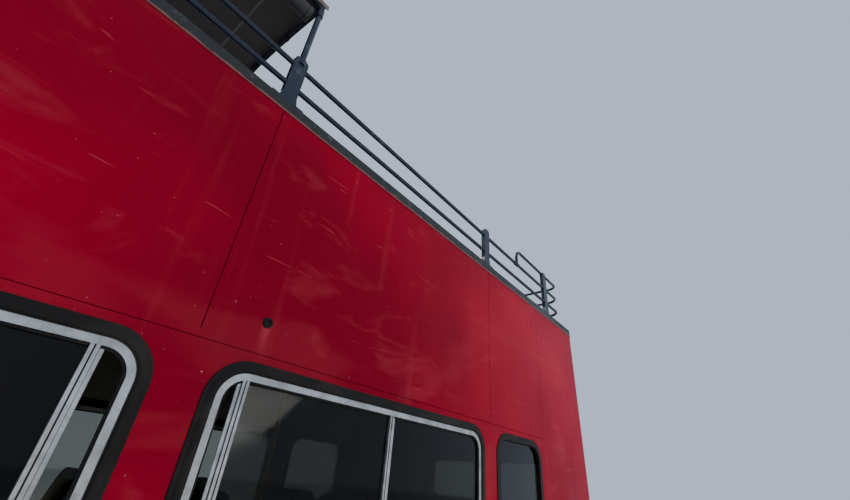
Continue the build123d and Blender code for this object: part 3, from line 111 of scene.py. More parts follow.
surround = bpy.data.worlds.new("pale_surround")
surround.use_nodes = True
surround.node_tree.nodes["Background"].inputs["Color"].default_value = surround_tone
surround.node_tree.nodes["Background"].inputs["Strength"].default_value = surround_strength
bpy.context.scene.world = surround
for name, place, target, size, watts, mirrored in soft_lights:
    lamp = bpy.data.lights.new(name, "AREA")
    lamp.shape = "DISK"
    lamp.size = size
    lamp.energy = watts
    light = link(bpy.data.objects.new(name, lamp))
    light.location = place
    light.visible_glossy = mirrored
    light.rotation_euler = (Vector(target) - Vector(place)).to_track_quat("-Z", "Y").to_euler()

# Outer panels. Aluminium sheets pinned to a steel frame and painted crimson over and over
# through the years, so that the gloss is uneven, with scuffs, rain marks and scratches. The
# sheets meet in narrow seams over the pillars and lap at the cantrail, where rivets hold them.
crimson = (0.235, 0.0013, 0.0135)
crimson_deep = (0.118, 0.0009, 0.008)
crimson_chalky = (0.300, 0.040, 0.052)
bare_nick = (0.42, 0.30, 0.28)
road_dirt = (0.075, 0.050, 0.040)
body_half = 1.250
cantrail_z = 2.009
deck_edge_z = 3.220
seam_foot_z = 2.046
pillar_x = -1.207
bay_pitch = 2.070
pillars = [pillar_x + i * bay_pitch for i in (-1, 0, 1, 2)]
side_ends_x = (-4.190, 4.760)
door_x = (3.400, 4.640)
rivet_radius = 0.0055
rivet_height = 0.0016
rivet_pitch = 0.115
rivet_offset = 0.016
drain_x, drain_z = -1.452, 2.143
drain_radius = 0.0165


class Shell:
    """The points and faces of one joined piece while it is being made."""

    def __init__(self):
        self.points = []
        self.faces = []

    def rings(self, rings, closed=True, capped=False, looped=False):
        """Joins successive rings of equally many points with quads."""
        base, count = len(self.points), len(rings[0])
        for ring in rings:
            self.points.extend(tuple(p) for p in ring)
        spans = len(rings) if looped else len(rings) - 1
        for i in range(spans):
            a, b = base + i * count, base + (i + 1) % len(rings) * count
            for j in range(count if closed else count - 1):
                k = (j + 1) % count
                self.faces.append((a + j, a + k, b + k, b + j))
        if capped:
            last = base + (len(rings) - 1) * count
            self.faces.append(tuple(base + j for j in reversed(range(count))))
            self.faces.append(tuple(last + j for j in range(count)))

    def block(self, low, high, ease=0.0):
        """A box between two corners, its upright edges eased by a chamfer."""
        (x0, y0, z0), (x1, y1, z1) = low, high
        ring = ((x0, y0), (x1, y0), (x1, y1), (x0, y1))
        if ease:
            ring = ((x0 + ease, y0), (x1 - ease, y0), (x1, y0 + ease), (x1, y1 - ease))
            ring += ((x1 - ease, y1), (x0 + ease, y1), (x0, y1 - ease), (x0, y0 + ease))
        self.rings([[(x, y, z) for x, y in ring] for z in (z0, z1)], capped=True)

    def dome(self, middle, outward, radius, height, sides=8):
        """A low round head on a surface that faces outward."""
        outward = Vector(outward).normalized()
        across = outward.orthogonal().normalized()
        other = outward.cross(across)
        rings = []
        for share, lift in ((1.0, 0.0), (0.86, 0.55), (0.45, 0.95)):
            spokes = [across * cos(tau * i / sides) + other * sin(tau * i / sides) for i in range(sides)]
            rings.append([Vector(middle) + s * radius * share + outward * height * lift for s in spokes])
        self.rings(rings, capped=True)

    def tube(self, path, radius, sides=12, looped=False, flat=1.0):
        """A tube along a path, capped where it isn't a loop; its radius may be a list."""
        path = [Vector(p) for p in path]
        count = len(path)
        radii = radius if isinstance(radius, list) else [radius] * count
        rings, across = [], None
        for i, point in enumerate(path):
            before = path[i - 1] if i or looped else point
            after = path[(i + 1) % count] if i < count - 1 or looped else point
            along = (after - before).normalized()
            across = along.orthogonal() if across is None else across
            across = (across - along * across.dot(along)).normalized()
            other = along.cross(across) * flat
            spokes = [across * cos(tau * j / sides) + other * sin(tau * j / sides) for j in range(sides)]
            rings.append([point + s * radii[i] for s in spokes])
        self.rings(rings, capped=not looped, looped=looped)

    def turned(self, profile, centre, axis="Y", sides=48, side=1, looped=False, capped=False):
        """A turned form: the profile's points are (radius, place along the axis)."""
        cx, cy, cz = centre
        rings = []
        for radius, along in profile:
            turn = [(radius * cos(tau * j / sides), radius * sin(tau * j / sides)) for j in range(sides)]
            if axis == "Y":
                rings.append([(cx + u, cy + side * along, cz + v) for u, v in turn])
            elif axis == "X":
                rings.append([(cx + side * along, cy + u, cz + v) for u, v in turn])
            else:
                rings.append([(cx + u, cy + v, cz + side * along) for u, v in turn])
        self.rings(rings, looped=looped, capped=capped)

    def piece(self, name, finish, slot, body="body", crease=35.0):
        """Makes the mesh, dresses it and lets it ride on its body."""
        mesh = bpy.data.meshes.new(name)
        mesh.from_pydata(self.points, [], self.faces)
        shape = bmesh.new()
        shape.from_mesh(mesh)
        bmesh.ops.recalc_face_normals(shape, faces=shape.faces)
        shape.to_mesh(mesh)
        shape.free()
        mesh.shade_smooth()
        mesh.set_sharp_from_angle(angle=radians(crease))
        mesh.materials.append(finish)
        made = link(bpy.data.objects.new(name, mesh))
        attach(made, body)
        return made


def add_node(tree, kind, **settings):
    """A new node in a material's tree, with its settings."""
    node = tree.nodes.new(kind)
    for key, value in settings.items():
        setattr(node, key, value)
    return node


def place_of(tree, stretch=(1, 1, 1)):
    """The point on the object, in metres, squeezed or stretched along its axes."""
    where = add_node(tree, "ShaderNodeTexCoord")
    scale = add_node(tree, "ShaderNodeMapping")
    scale.inputs["Scale"].default_value = stretch
    tree.links.new(where.outputs["Object"], scale.inputs["Vector"])
    return scale.outputs["Vector"]


def mottle(tree, scale, detail=4.0, roughness=0.55, stretch=(1, 1, 1), distortion=0.0):
    """Cloudy noise over the surface, from 0 to 1."""
    cloud = add_node(tree, "ShaderNodeTexNoise")
    cloud.inputs["Scale"].default_value = scale
    cloud.inputs["Detail"].default_value = detail
    cloud.inputs["Roughness"].default_value = roughness
    cloud.inputs["Distortion"].default_value = distortion
    tree.links.new(place_of(tree, stretch), cloud.inputs["Vector"])
    return cloud.outputs["Fac"]


def spread(tree, value, low, high, to_low=0.0, to_high=1.0):
    """The value between low and high spread over a new range, and held at its ends."""
    ranged = add_node(tree, "ShaderNodeMapRange")
    for key, number in (("From Min", low), ("From Max", high), ("To Min", to_low), ("To Max", to_high)):
        ranged.inputs[key].default_value = number
    tree.links.new(value, ranged.inputs["Value"])
    return ranged.outputs["Result"]


def patches(tree, cloud, low, high, to_low=0.0, to_high=1.0):
    """Cloudy noise whose clouds stand apart; cloud holds the figures that mottle takes."""
    return spread(tree, mottle(tree, *cloud), low, high, to_low, to_high)


def calc(tree, operation, a, b=0.0):
    """Arithmetic on two numbers or outputs."""
    sum_node = add_node(tree, "ShaderNodeMath", operation=operation)
    for i, value in enumerate((a, b)):
        if isinstance(value, (int, float)):
            sum_node.inputs[i].default_value = value
        else:
            tree.links.new(value, sum_node.inputs[i])
    return sum_node.outputs[0]


def mixed(tree, share, a, b, strength=1.0):
    """Colour a where share is 0 and b where it is 1; either may be a colour or an output."""
    mixer = add_node(tree, "ShaderNodeMix", data_type="RGBA")
    if strength != 1.0:
        share = calc(tree, "MULTIPLY", share, strength)
    tree.links.new(share, mixer.inputs["Factor"])
    for key, value in (("A", a), ("B", b)):
        entry = [s for s in mixer.inputs if s.name == key and s.type == "RGBA"][0]
        if isinstance(value, tuple):
            entry.default_value = (*value, 1.0)
        else:
            tree.links.new(value, entry)
    return [s for s in mixer.outputs if s.type == "RGBA"][0]


def bumps(tree, shader, height, strength, distance, after=None):
    """Relief on the shader from a height, over another bump where there is one."""
    bump = add_node(tree, "ShaderNodeBump")
    bump.inputs["Strength"].default_value = strength
    bump.inputs["Distance"].default_value = distance
    tree.links.new(height, bump.inputs["Height"])
    if after is not None:
        tree.links.new(after, bump.inputs["Normal"])
    tree.links.new(bump.outputs["Normal"], shader.inputs["Normal"])
    return bump.outputs["Normal"]


def axes_of(tree):
    """The point's x, y and z outputs, in metres."""
    split = add_node(tree, "ShaderNodeSeparateXYZ")
    tree.links.new(place_of(tree), split.inputs[0])
    return split.outputs


def near(tree, value, middle, reach):
    """1 where the value is at the middle, falling to 0 at the reach on either side."""
    away = calc(tree, "ABSOLUTE", calc(tree, "SUBTRACT", value, middle))
    return spread(tree, away, 0.0, reach, 1.0, 0.0)


paint_marks = (
    # clouds, where they begin and are full, colour, share: smears, wipe marks, streaks, scratches, nicks
    ((2.0, 7.0, 0.62, (1.0, 1.0, 2.4), 0.7), 0.57, 0.75, crimson_chalky, 0.22),
    ((1.1, 3.0, 0.5, (0.5, 1.0, 2.2), 1.6), 0.58, 0.66, crimson_chalky, 0.09),
    ((9.0, 3.0, 0.5, (1.0, 1.0, 0.07)), 0.60, 0.78, crimson_chalky, 0.12),
    ((30.0, 2.0, 0.4, (0.08, 1.0, 1.0), 1.4), 0.715, 0.735, crimson_chalky, 0.30),
    ((85.0, 2.0, 0.4), 0.775, 0.80, bare_nick, 0.40),
)
red_paint, tree, shader = new_finish("red_paint", crimson, 0.3)
x, _, z = axes_of(tree)
coat = mixed(tree, patches(tree, (0.45, 3.0), 0.36, 0.66), crimson_deep, crimson)
for cloud, begins, full, tone, share in paint_marks:
    coat = mixed(tree, patches(tree, cloud, begins, full), coat, tone, share)
stain = calc(tree, "MULTIPLY", near(tree, x, drain_x, 0.028), spread(tree, z, drain_z - 0.15, drain_z))
stain = calc(tree, "MULTIPLY", stain, spread(tree, z, drain_z + 0.01, drain_z))
coat = mixed(tree, stain, coat, crimson_chalky, 0.55)
# Painted shade: in the last ten centimetres under the capping the paint darkens in patches towards deep
# crimson.
painted_shade_under_capping = spread(tree, z, deck_edge_z - 0.10, deck_edge_z)
painted_shade_under_capping = calc(tree, "MULTIPLY", painted_shade_under_capping, patches(tree, (7.0,), 0.45, 0.7))
coat = mixed(tree, painted_shade_under_capping, coat, crimson_deep, 0.5)
splash = calc(tree, "MULTIPLY", spread(tree, z, 1.0, 0.35), patches(tree, (5.0,), 0.3, 0.7))
coat = mixed(tree, splash, coat, road_dirt, 0.75)
tree.links.new(coat, shader.inputs["Base Color"])
gloss = patches(tree, (1.6, 5.0, 0.6), 0.3, 0.7, 0.24, 0.44)
tree.links.new(gloss, shader.inputs["Roughness"])
shader.inputs["Specular IOR Level"].default_value = 0.04
ripples = bumps(tree, shader, mottle(tree, 1.3, 2.0, 0.4), 0.35, 0.02)
bumps(tree, shader, mottle(tree, 240.0, 2.0), 0.05, 0.001, ripples)


def dress(finish, slot, *names):
    """Gives CAD nodes their finish."""
    for name in names:
        node = nodes[name]
        node.data.materials.clear()
        node.data.materials.append(finish)


dress(red_paint, "red_paint", "side_lower_left", "side_lower_right", "side_upper_left", "side_upper_right")
dress(red_paint, "red_paint", "rear_lower", "rear_upper", "front_lower", "front_upper")
dress(red_paint, "red_paint", "emergency_door", "engine_lid")

side_length = side_ends_x[1] - side_ends_x[0]
seam_height = deck_edge_z - seam_foot_z
cantrail_rivets = round(side_length / rivet_pitch)
seam_rivets = round(seam_height / (rivet_pitch * 1.5))
rivets = Shell()
for side in (1, -1):
    y = side * body_half
    for i in range(cantrail_rivets):
        x = side_ends_x[0] + (i + 0.5) * side_length / cantrail_rivets
        if side < 0 or not door_x[0] - 0.02 < x < door_x[1] + 0.02:
            rivets.dome((x, y, cantrail_z - rivet_offset), (0, side, 0), rivet_radius, rivet_height)
    for x in (*pillars, side_ends_x[0]):
        for i in range(seam_rivets):
            z = seam_foot_z + (i + 0.5) * seam_height / seam_rivets
            rivets.dome((x - rivet_offset, y, z), (0, side, 0), rivet_radius, rivet_height)
rivets.piece("panel_rivets", red_paint, "red_paint")

# Drain outlet. A black rubber lip round a short tube through the panel above one window,
# where water from the upper deck runs out and stains the paint.
rubber_tone = (0.0055, 0.0048, 0.0046)
rubber_bloom = (0.015, 0.012, 0.011)


def rubber(name, colour, bloomed, roughness=0.62):
    """Matt rubber with a grey bloom over parts of it."""
    finish, tree, shader = new_finish(name, colour, roughness)
    bloom = patches(tree, (7.0, 5.0), 0.45, 0.75)
    tree.links.new(mixed(tree, bloom, colour, bloomed), shader.inputs["Base Color"])
    shader.inputs["Specular IOR Level"].default_value = 0.2
    bumps(tree, shader, mottle(tree, 90.0, 3.0), 0.25, 0.001)
    return finish


window_rubber = rubber("window_rubber", rubber_tone, rubber_bloom)
drain_sides, lip_off, lip_radius = 24, 0.003, 0.0062
drain_floor = [(0.0125, 0.0004), (0.0125, 0.0020), (0.0105, 0.0016), (0.0005, 0.0008)]
drain = Shell()
lip_circle = []
for i in range(drain_sides):
    a = tau * i / drain_sides
    u, v = drain_radius * cos(a), drain_radius * sin(a)
    lip_circle.append((drain_x + u, body_half + lip_off, drain_z + v))
drain.tube(lip_circle, lip_radius, sides=10, looped=True)
drain.turned(drain_floor, (drain_x, body_half, drain_z), sides=drain_sides, capped=True)
drain.piece("drain_outlet", window_rubber, "window_rubber")

# Window surrounds. Thick black rubber pressed into the cut-out of the panel, and inside it
# a frame of extruded aluminium, dulled by years of rain, with a black glazing strip round
# the panes. Each sliding pane has its own slim edge and a finger catch near the bottom.
aluminium_tone = (0.50, 0.51, 0.51)
aluminium_dull = (0.27, 0.27, 0.26)
sill_z, head_z = 1.170, 1.932
corner_radius = 0.110
wide_half = 0.906
frame_face = 0.026
strip_face = 0.009
stile_line = 0.0022
stile_offs = (0.0015, 0.0027)
pane_edge_off, pane_edge_half, pane_edge_offs = 0.0215, 0.007, (-0.0116, -0.0045)
catch_offs = (-0.0045, 0.0045)
catch_blocks = (
    # half width, lower and upper end over the sill, chamfer: body, finger bar
    (0.009, 0.115, 0.177, 0.003),
    (0.004, 0.103, 0.189, 0.002),
)
bay_middles = [x + bay_pitch / 2 for x in pillars[:3]]
rear_bay, middle_bay, front_bay = [(x - wide_half, x + wide_half) for x in bay_middles]
window_rows = (
    # side, rear end, front end, places of the stiles as shares of the width from the rear
    (1, *rear_bay, (0.487, 0.945)),
    (1, *middle_bay, (0.075, 0.52)),
    (1, *front_bay, (0.49, 0.93)),
    (-1, *rear_bay, (0.487, 0.945)),
    (-1, -0.150, 0.725, ()),
    (-1, *front_bay, (0.49, 0.93)),
    (-1, 3.010, 3.760, ()),
    (-1, 3.900, 4.700, (0.5,)),
)


def brushed_metal(name, colour, dull, roughness):
    """Bare metal, dulled in patches, with fine brush marks across it."""
    finish, tree, shader = new_finish(name, colour, roughness, 0.85)
    dulled = patches(tree, (11.0, 6.0, 0.65), 0.4, 0.7)
    tree.links.new(mixed(tree, dulled, colour, dull), shader.inputs["Base Color"])
    brushed = mottle(tree, 160.0, 2.0, 0.5, (0.06, 1.0, 0.06))
    gloss = spread(tree, brushed, 0.3, 0.7, roughness - 0.08, roughness + 0.13)
    tree.links.new(gloss, shader.inputs["Roughness"])
    bumps(tree, shader, brushed, 0.15, 0.0006)
    return finish


window_aluminium = brushed_metal("window_aluminium", aluminium_tone, aluminium_dull, 0.42)
dress(window_rubber, "window_rubber", "window_rubbers")
dress(window_aluminium, "window_aluminium", "window_frames")


def rounded_loop(u0, u1, v0, v1, radius, steps=10):
    """Points round a rounded rectangle, steps of them to each corner."""
    loop = []
    quarters = ((u1 - radius, v1 - radius), (u0 + radius, v1 - radius))
    quarters += ((u0 + radius, v0 + radius), (u1 - radius, v0 + radius))
    for quarter, (cu, cv) in enumerate(quarters):
        for i in range(steps + 1):
            a = pi / 2 * (quarter + i / steps)
            loop.append((cu + radius * cos(a), cv + radius * sin(a)))
    return loop


def rounded_rings(box, corner, section, place, steps=10, follow=1.0):
    """Rings round a rounded rectangle, one for each (inset, height) of the section; place makes
    the point from u, v and height, and follow is how far the corners tighten with the inset."""
    u0, u1, v0, v1 = box
    rings = []
    for inset, off in section:
        loop = rounded_loop(u0 + inset, u1 - inset, v0 + inset, v1 - inset, corner - follow * inset, steps)
        rings.append([place(u, v, off) for u, v in loop])
    return rings


def window_ring(shell, x0, x1, side, section):
    """A ring round a side window, standing off the panel as its section says."""
    box = (x0, x1, sill_z, head_z)
    rings = rounded_rings(box, corner_radius, section, lambda x, z, off: (x, side * (body_half + off), z))
    shell.rings(rings, looped=True)


def between(side, low_off, high_off):
    """The two y values of a slab between two heights off a side panel, lowest first."""
    return sorted((side * (body_half + low_off), side * (body_half + high_off)))


strip_section = (
    (frame_face - 0.001, -0.010),
    (frame_face - 0.001, -0.0015),
    (frame_face + 0.003, 0.0005),
    (frame_face + strip_face, -0.004),
    (frame_face + strip_face, -0.010),
)
lip_section = ((-0.004, 0.0050), (-0.007, 0.0085), (-0.014, 0.0100), (-0.026, 0.0085), (-0.031, 0.0050))
glazing_strips, pane_edges, catches, rubber_lips = Shell(), Shell(), Shell(), Shell()
for side, x0, x1, stiles in window_rows:
    window_ring(glazing_strips, x0, x1, side, strip_section)
    window_ring(rubber_lips, x0, x1, side, lip_section)
    for share in stiles:
        x = x0 + share * (x1 - x0)
        foot, head = sill_z + frame_face, head_z - frame_face
        y0, y1 = between(side, *stile_offs)
        glazing_strips.block((x - stile_line, y0, foot), (x + stile_line, y1, head))
        x += pane_edge_off if share > 0.5 else -pane_edge_off
        y0, y1 = between(side, *pane_edge_offs)
        low, high = (x - pane_edge_half, y0, foot + 0.006), (x + pane_edge_half, y1, head - 0.006)
        pane_edges.block(low, high, 0.0015)
        y0, y1 = between(side, *catch_offs)
        for half, lower, upper, ease in catch_blocks:
            catches.block((x - half, y0, sill_z + lower), (x + half, y1, sill_z + upper), ease)
glazing_strips.piece("glazing_strips", window_rubber, "window_rubber")
rubber_lips.piece("rubber_lips", window_rubber, "window_rubber")
pane_edges.piece("pane_edges", window_aluminium, "window_aluminium", crease=20)
catches.piece("pane_catches", window_rubber, "window_rubber", crease=20)

# Glazing. Toughened panes with a grey-green tint, dusty outside and fingered inside, held in
# the frames and, at the front and tail, straight in the rubber. The screen round the upper
# deck's nose and the windscreen are clearer.
tint = (0.170, 0.172, 0.150)
clear_tint = (0.58, 0.60, 0.58)
screen_glass_x = 4.860
glazing, tree, shader = new_finish("glazing", tint, 0.05)
forward_glass = spread(tree, axes_of(tree)[0], screen_glass_x - 0.02, screen_glass_x)
tree.links.new(mixed(tree, forward_glass, tint, clear_tint), shader.inputs["Base Color"])
shader.inputs["Transmission Weight"].default_value = 1.0
shader.inputs["IOR"].default_value = 1.28
tree.links.new(patches(tree, (4.0, 5.0, 0.6), 0.35, 0.75, 0.02, 0.12), shader.inputs["Roughness"])
dress(glazing, "glazing", "body_glass", "door_glass_front", "door_glass_rear", "emergency_glass")

# Black metalwork. The capping, bumpers, door leaves and mirrors are steel and aluminium in
# brushed-on black enamel, rubbed through to brown primer along the capping's lower edge. Thin
# screwed straps cover the capping's joints.
black_enamel = (0.011, 0.012, 0.013)
rubbed_grey = (0.085, 0.085, 0.090)
primer_brown = (0.120, 0.045, 0.035)


def enamel(name, colour, worn, roughness, edge_z=None):
    """Paint rubbed thin in patches and, where an edge is named, chipped along it."""
    finish, tree, shader = new_finish(name, colour, roughness)
    rubbed = patches(tree, (14.0, 6.0, 0.65), 0.58, 0.72)
    coat = mixed(tree, rubbed, colour, worn, 0.5)
    if edge_z is not None:
        z = axes_of(tree)[2]
        chipped = calc(tree, "ADD", spread(tree, z, edge_z + 0.030, edge_z), mottle(tree, 26.0, 5.0, 0.7))
        coat = mixed(tree, spread(tree, chipped, 1.12, 1.24), coat, primer_brown)
    tree.links.new(coat, shader.inputs["Base Color"])
    shader.inputs["Specular IOR Level"].default_value = 0.3
    gloss = patches(tree, (9.0, 4.0), 0.3, 0.7, max(roughness - 0.1, 0.05), roughness + 0.12)
    tree.links.new(gloss, shader.inputs["Roughness"])
    bumps(tree, shader, mottle(tree, 120.0, 3.0), 0.12, 0.001)
    return finish


black_trim = enamel("black_trim", black_enamel, rubbed_grey, 0.42)
capping_black = enamel("capping_black", black_enamel, rubbed_grey, 0.45, deck_edge_z)
dress(black_trim, "black_trim", "bumpers", "door_leaf_front", "door_leaf_rear", "mirrors")
dress(capping_black, "black_trim", "deck_capping")

strap_xs = (-5.090, *[x + bay_pitch / 2 for x in pillars[:-1]], 3.760, 4.790)
capping_outer, capping_inner = 1.255, 1.188
capping_z = (3.220, 3.300)
strap_half, strap_thick = 0.022, 0.0014
strap_screw = (0.0045, 0.0018)
strap_screw_z, strap_screw_y = 3.256, 1.222
straps = Shell()
for side in (1, -1):
    for x in strap_xs:
        rear, front = x - strap_half, x + strap_half
        face_y, top_z = capping_outer + strap_thick, capping_z[1] + strap_thick
        y0, y1 = sorted((side * capping_outer, side * face_y))
        straps.block((rear, y0, capping_z[0] + 0.004), (front, y1, capping_z[1] - 0.010), 0.0006)
        y0, y1 = sorted((side * (capping_inner + 0.010), side * (capping_outer - 0.010)))
        straps.block((rear, y0, capping_z[1]), (front, y1, top_z), 0.003)
        for off in (-0.011, 0.011):
            straps.dome((x + off, side * face_y, strap_screw_z), (0, side, 0), *strap_screw)
            straps.dome((x + off, side * strap_screw_y, top_z), (0, 0, 1), *strap_screw)
straps.piece("capping_straps", capping_black, "black_trim", crease=25)

# Door rubbers. A lip of black rubber round each pane of the entrance door and of the
# emergency door, and a nosing down the entrance door's closing edges.
leaf_face_y, exit_face_y = 1.245, -1.248
leaf_panes = (
    # body, rear edge, front edge of the panes, place of the nosing
    ("door_leaf_1", 3.478, 3.9535, 3.4255),
    ("door_leaf_2", 4.088, 4.562, 4.6145),
)
leaf_pane_zs = ((0.465, 1.130), (1.190, 2.070))
nosing_zs, nosing_radius = (0.375, 2.120), 0.0042
exit_pane = (-0.912, -0.388, 1.190, 1.852)
leaf_pane_corner, exit_pane_corner = 0.045, 0.060
lip_round = ((-0.012, 0.0002), (-0.010, 0.0018), (-0.002, 0.0024), (0.006, 0.0016), (0.008, -0.0060))


def lip_round_pane(shell, pane, radius, face_y, outward):
    """A rubber lip round a pane: it lies on the leaf and turns in to the glass."""
    rings = rounded_rings(pane, radius, lip_round, lambda x, z, off: (x, face_y + outward * off, z), 6)
    shell.rings(rings, looped=True)


for leaf_body, x0, x1, nosing_x in leaf_panes:
    lips = Shell()
    for z0, z1 in leaf_pane_zs:
        lip_round_pane(lips, (x0, x1, z0, z1), leaf_pane_corner, leaf_face_y, 1)
    lips.tube([(nosing_x, leaf_face_y, z) for z in nosing_zs], nosing_radius)
    lips.piece(f"{leaf_body}_rubbers", window_rubber, "window_rubber", leaf_body, crease=50)
exit_lips = Shell()
lip_round_pane(exit_lips, exit_pane, exit_pane_corner, exit_face_y, -1)
exit_lips.piece("exit_door_rubber", window_rubber, "window_rubber", "exit_door", crease=50)

# Guard rails and canopy frame. Steel tube and flat bar, bent and welded, in thick navy-black
# gloss that has run a little and is rubbed bright where people hold it.
rail_navy = (0.0075, 0.0110, 0.0210)
rail_rubbed = (0.060, 0.068, 0.085)
rail_paint = enamel("rail_paint", rail_navy, rail_rubbed, 0.27)
dress(rail_paint, "rail_paint", "guard_rails", "canopy_frame")
stanchion_xs = (-4.560, *pillars, 4.640)
foot_top, foot_bolt_y, foot_bolt_off = 3.3085, 1.2215, 0.078
washer = [(0.0125, 0.0), (0.0125, 0.0016), (0.0115, 0.0018)]
bolt_head = [(0.0088, 0.0016), (0.0088, 0.0070), (0.0075, 0.0082)]
bolts = Shell()
for side in (1, -1):
    for x in stanchion_xs:
        for off in (-foot_bolt_off, foot_bolt_off):
            place = (x + off, side * foot_bolt_y, foot_top)
            bolts.turned(washer, place, axis="Z", sides=20, capped=True)
            bolts.turned(bolt_head, place, axis="Z", sides=6, capped=True)
bolts.piece("stanchion_bolts", rail_paint, "rail_paint", crease=25)

# Canopy. Brown-grey coated cloth, welded in panels with cross seams and stretched over the
# hoops, so that it hangs a little between them; its two ends are cut in shallow scallops.
cloth_brown = (0.060, 0.044, 0.046)
cloth_dusty = (0.095, 0.080, 0.074)
seam_pale, seam_dusty = (0.165, 0.160, 0.145), (0.12, 0.11, 0.10)
coated_weave = 260.0
canopy_low, canopy_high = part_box("canopy")
canopy_half = canopy_high.y
cloth_thick = 0.0012
spring_z = canopy_low.z + 0.001
crown_rise = canopy_high.z - canopy_low.z - 0.006
hoop_lip = 0.030
post_xs = (pillars[1], pillars[2], pillars[3], canopy_high.x - hoop_lip)
hoop_xs = sorted([*post_xs, *[(a + b) / 2 for a, b in zip(post_xs, post_xs[1:])]])
cloth_sag = 0.016
scallop_depth = 0.024
scallops = 5
valance_drop = 0.050
across_steps, along_steps = 44, 120


def cloth_fabric(name, colour, dusty, weave_scale):
    """Woven cloth, dusty in patches, with painted shade along soft folds: streaks of its own colour
    darkened.
    """
    finish, tree, shader = new_finish(name, colour, 0.85)
    dusted = patches(tree, (2.4, 6.0, 0.6), 0.20, 0.95)
    coat = mixed(tree, dusted, colour, dusty)
    # Painted shade: streaks where the cloth's own colour is darkened by a quarter, standing for the shade in
    # soft folds.
    painted_fold_shade = patches(tree, (5.0, 3.0, 0.5, (0.35, 1.0, 1.0), 0.8), 0.55, 0.7)
    coat = mixed(tree, painted_fold_shade, coat, tuple(c * 0.75 for c in colour), 0.35)
    tree.links.new(coat, shader.inputs["Base Color"])
    shader.inputs["Sheen Weight"].default_value = 0.12
    warp = add_node(tree, "ShaderNodeTexWave", wave_type="BANDS", bands_direction="X")
    weft = add_node(tree, "ShaderNodeTexWave", wave_type="BANDS", bands_direction="Y")
    for wave in (warp, weft):
        wave.inputs["Scale"].default_value = weave_scale
        wave.inputs["Distortion"].default_value = 0.6
        tree.links.new(place_of(tree), wave.inputs["Vector"])
    weave = calc(tree, "MULTIPLY", warp.outputs["Fac"], weft.outputs["Fac"])
    soft = bumps(tree, shader, mottle(tree, 3.0, 3.0), 0.3, 0.01)
    bumps(tree, shader, weave, 0.25, 0.0008, soft)
    return finish


def over_hoops(x, y):
    """Height of the stretched cloth at a place, sagging between the hoops."""
    bow_radius = (canopy_half**2 + crown_rise**2) / (2 * crown_rise)
    arch = spring_z + sqrt(bow_radius**2 - y * y) - (bow_radius - crown_rise)
    share_across = max(0.0, 1.0 - (y / canopy_half) ** 2)
    for a, b in zip(hoop_xs, hoop_xs[1:]):
        if a < x < b:
            t = (x - a) / (b - a)
            arch -= cloth_sag * 4 * t * (1 - t) * sqrt(share_across)
    return arch


def scalloped(x, y, end_x, toward):
    """Where along the bus a point of the cloth lies, drawn in by the scallops near its ends."""
    t = (y / canopy_half + 1) / 2 * scallops % 1.0
    return x - toward * scallop_depth * 4 * t * (1 - t) * max(0.0, 1 - abs(x - end_x) / 0.25)


canopy_cloth = cloth_fabric("canopy_fabric", cloth_brown, cloth_dusty, coated_weave)
canopy_shell = Shell()
rows = []
half_across = [i / across_steps * 2 - 1 for i in range(across_steps + 1)]
for i in range(along_steps + 1):
    x = canopy_low.x + i / along_steps * (canopy_high.x - canopy_low.x)
    end_x, toward = (canopy_low.x, -1) if i < along_steps / 2 else (canopy_high.x, 1)
    row = []
    for share in half_across:
        y = share * canopy_half
        row.append((scalloped(x, y, end_x, toward), y, over_hoops(x, y)))
    for k, drop in enumerate((0.012, valance_drop * 0.5, valance_drop)):
        wave = 0.0015 * sin(x * 23 + k)
        row.insert(0, (x, -canopy_half - 0.0015 + wave, spring_z - drop))
        row.append((x, canopy_half + 0.0015 - wave, spring_z - drop))
    rows.append(row)
canopy_shell.rings(rows, closed=False)
canopy_sheet = canopy_shell.piece("canopy_cloth", canopy_cloth, "canopy_fabric", crease=60)
thicken = canopy_sheet.modifiers.new("thickness", "SOLIDIFY")
thicken.thickness = cloth_thick
thicken.offset = 1.0
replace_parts(canopy_sheet, "canopy")

seam_xs = [canopy_low.x + 0.29, *[(a + b) / 2 + 0.10 for a, b in zip(hoop_xs[1:], hoop_xs[2:])]]
tape_half, tape_inset, tape_under = 0.008, 0.02, 0.0022
tape_ys = [share * (canopy_half - tape_inset) for share in half_across]
seam_tape = Shell()
for middle in seam_xs:
    edges = (middle - tape_half, middle + tape_half)
    seam_tape.rings([[(x, y, over_hoops(x, y) - tape_under) for y in tape_ys] for x in edges], closed=False)
tape_finish = cloth_fabric("seam_tape", seam_pale, seam_dusty, coated_weave)
seams = seam_tape.piece("canopy_seams", tape_finish, "canopy_fabric")

# Side curtains. Dark coated cloth rolled up under both eaves, each roll hung from the frame
# by webbing ties.
curtain_dark = (0.016, 0.016, 0.017)
curtain_dusty = (0.040, 0.038, 0.036)
webbing_dark, webbing_dusty, webbing_weave = (0.020, 0.020, 0.022), (0.05, 0.05, 0.05), 400.0
tie_pitch = 0.69
roll_low, roll_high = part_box("curtain_rolls")
roll_outer = 0.0535
roll_inner = 0.014
roll_turns = 4
roll_steps = 24
roll_spans = 60
roll_box_half = 0.055
tie_half, tie_inner, tie_outer, tie_top = 0.0125, 0.0515, 0.0530, 0.0715
curtain_cloth = cloth_fabric("curtain_cloth", curtain_dark, curtain_dusty, coated_weave)
tie_webbing = cloth_fabric("tie_webbing", webbing_dark, webbing_dusty, webbing_weave)
roll_z = roll_high.z - roll_box_half
roll_spiral = []
for i in range(roll_turns * roll_steps + 1):
    t = i / (roll_turns * roll_steps)
    roll_spiral.append((roll_inner + (roll_outer - roll_inner) * t, tau * roll_turns * t + pi * 0.3))
spiral_points = [(r * cos(a), r * sin(a)) for r, a in roll_spiral]
tie_band = [(tie_inner, -tie_half), (tie_outer, -tie_half), (tie_outer, tie_half), (tie_inner, tie_half)]
random.seed(11)
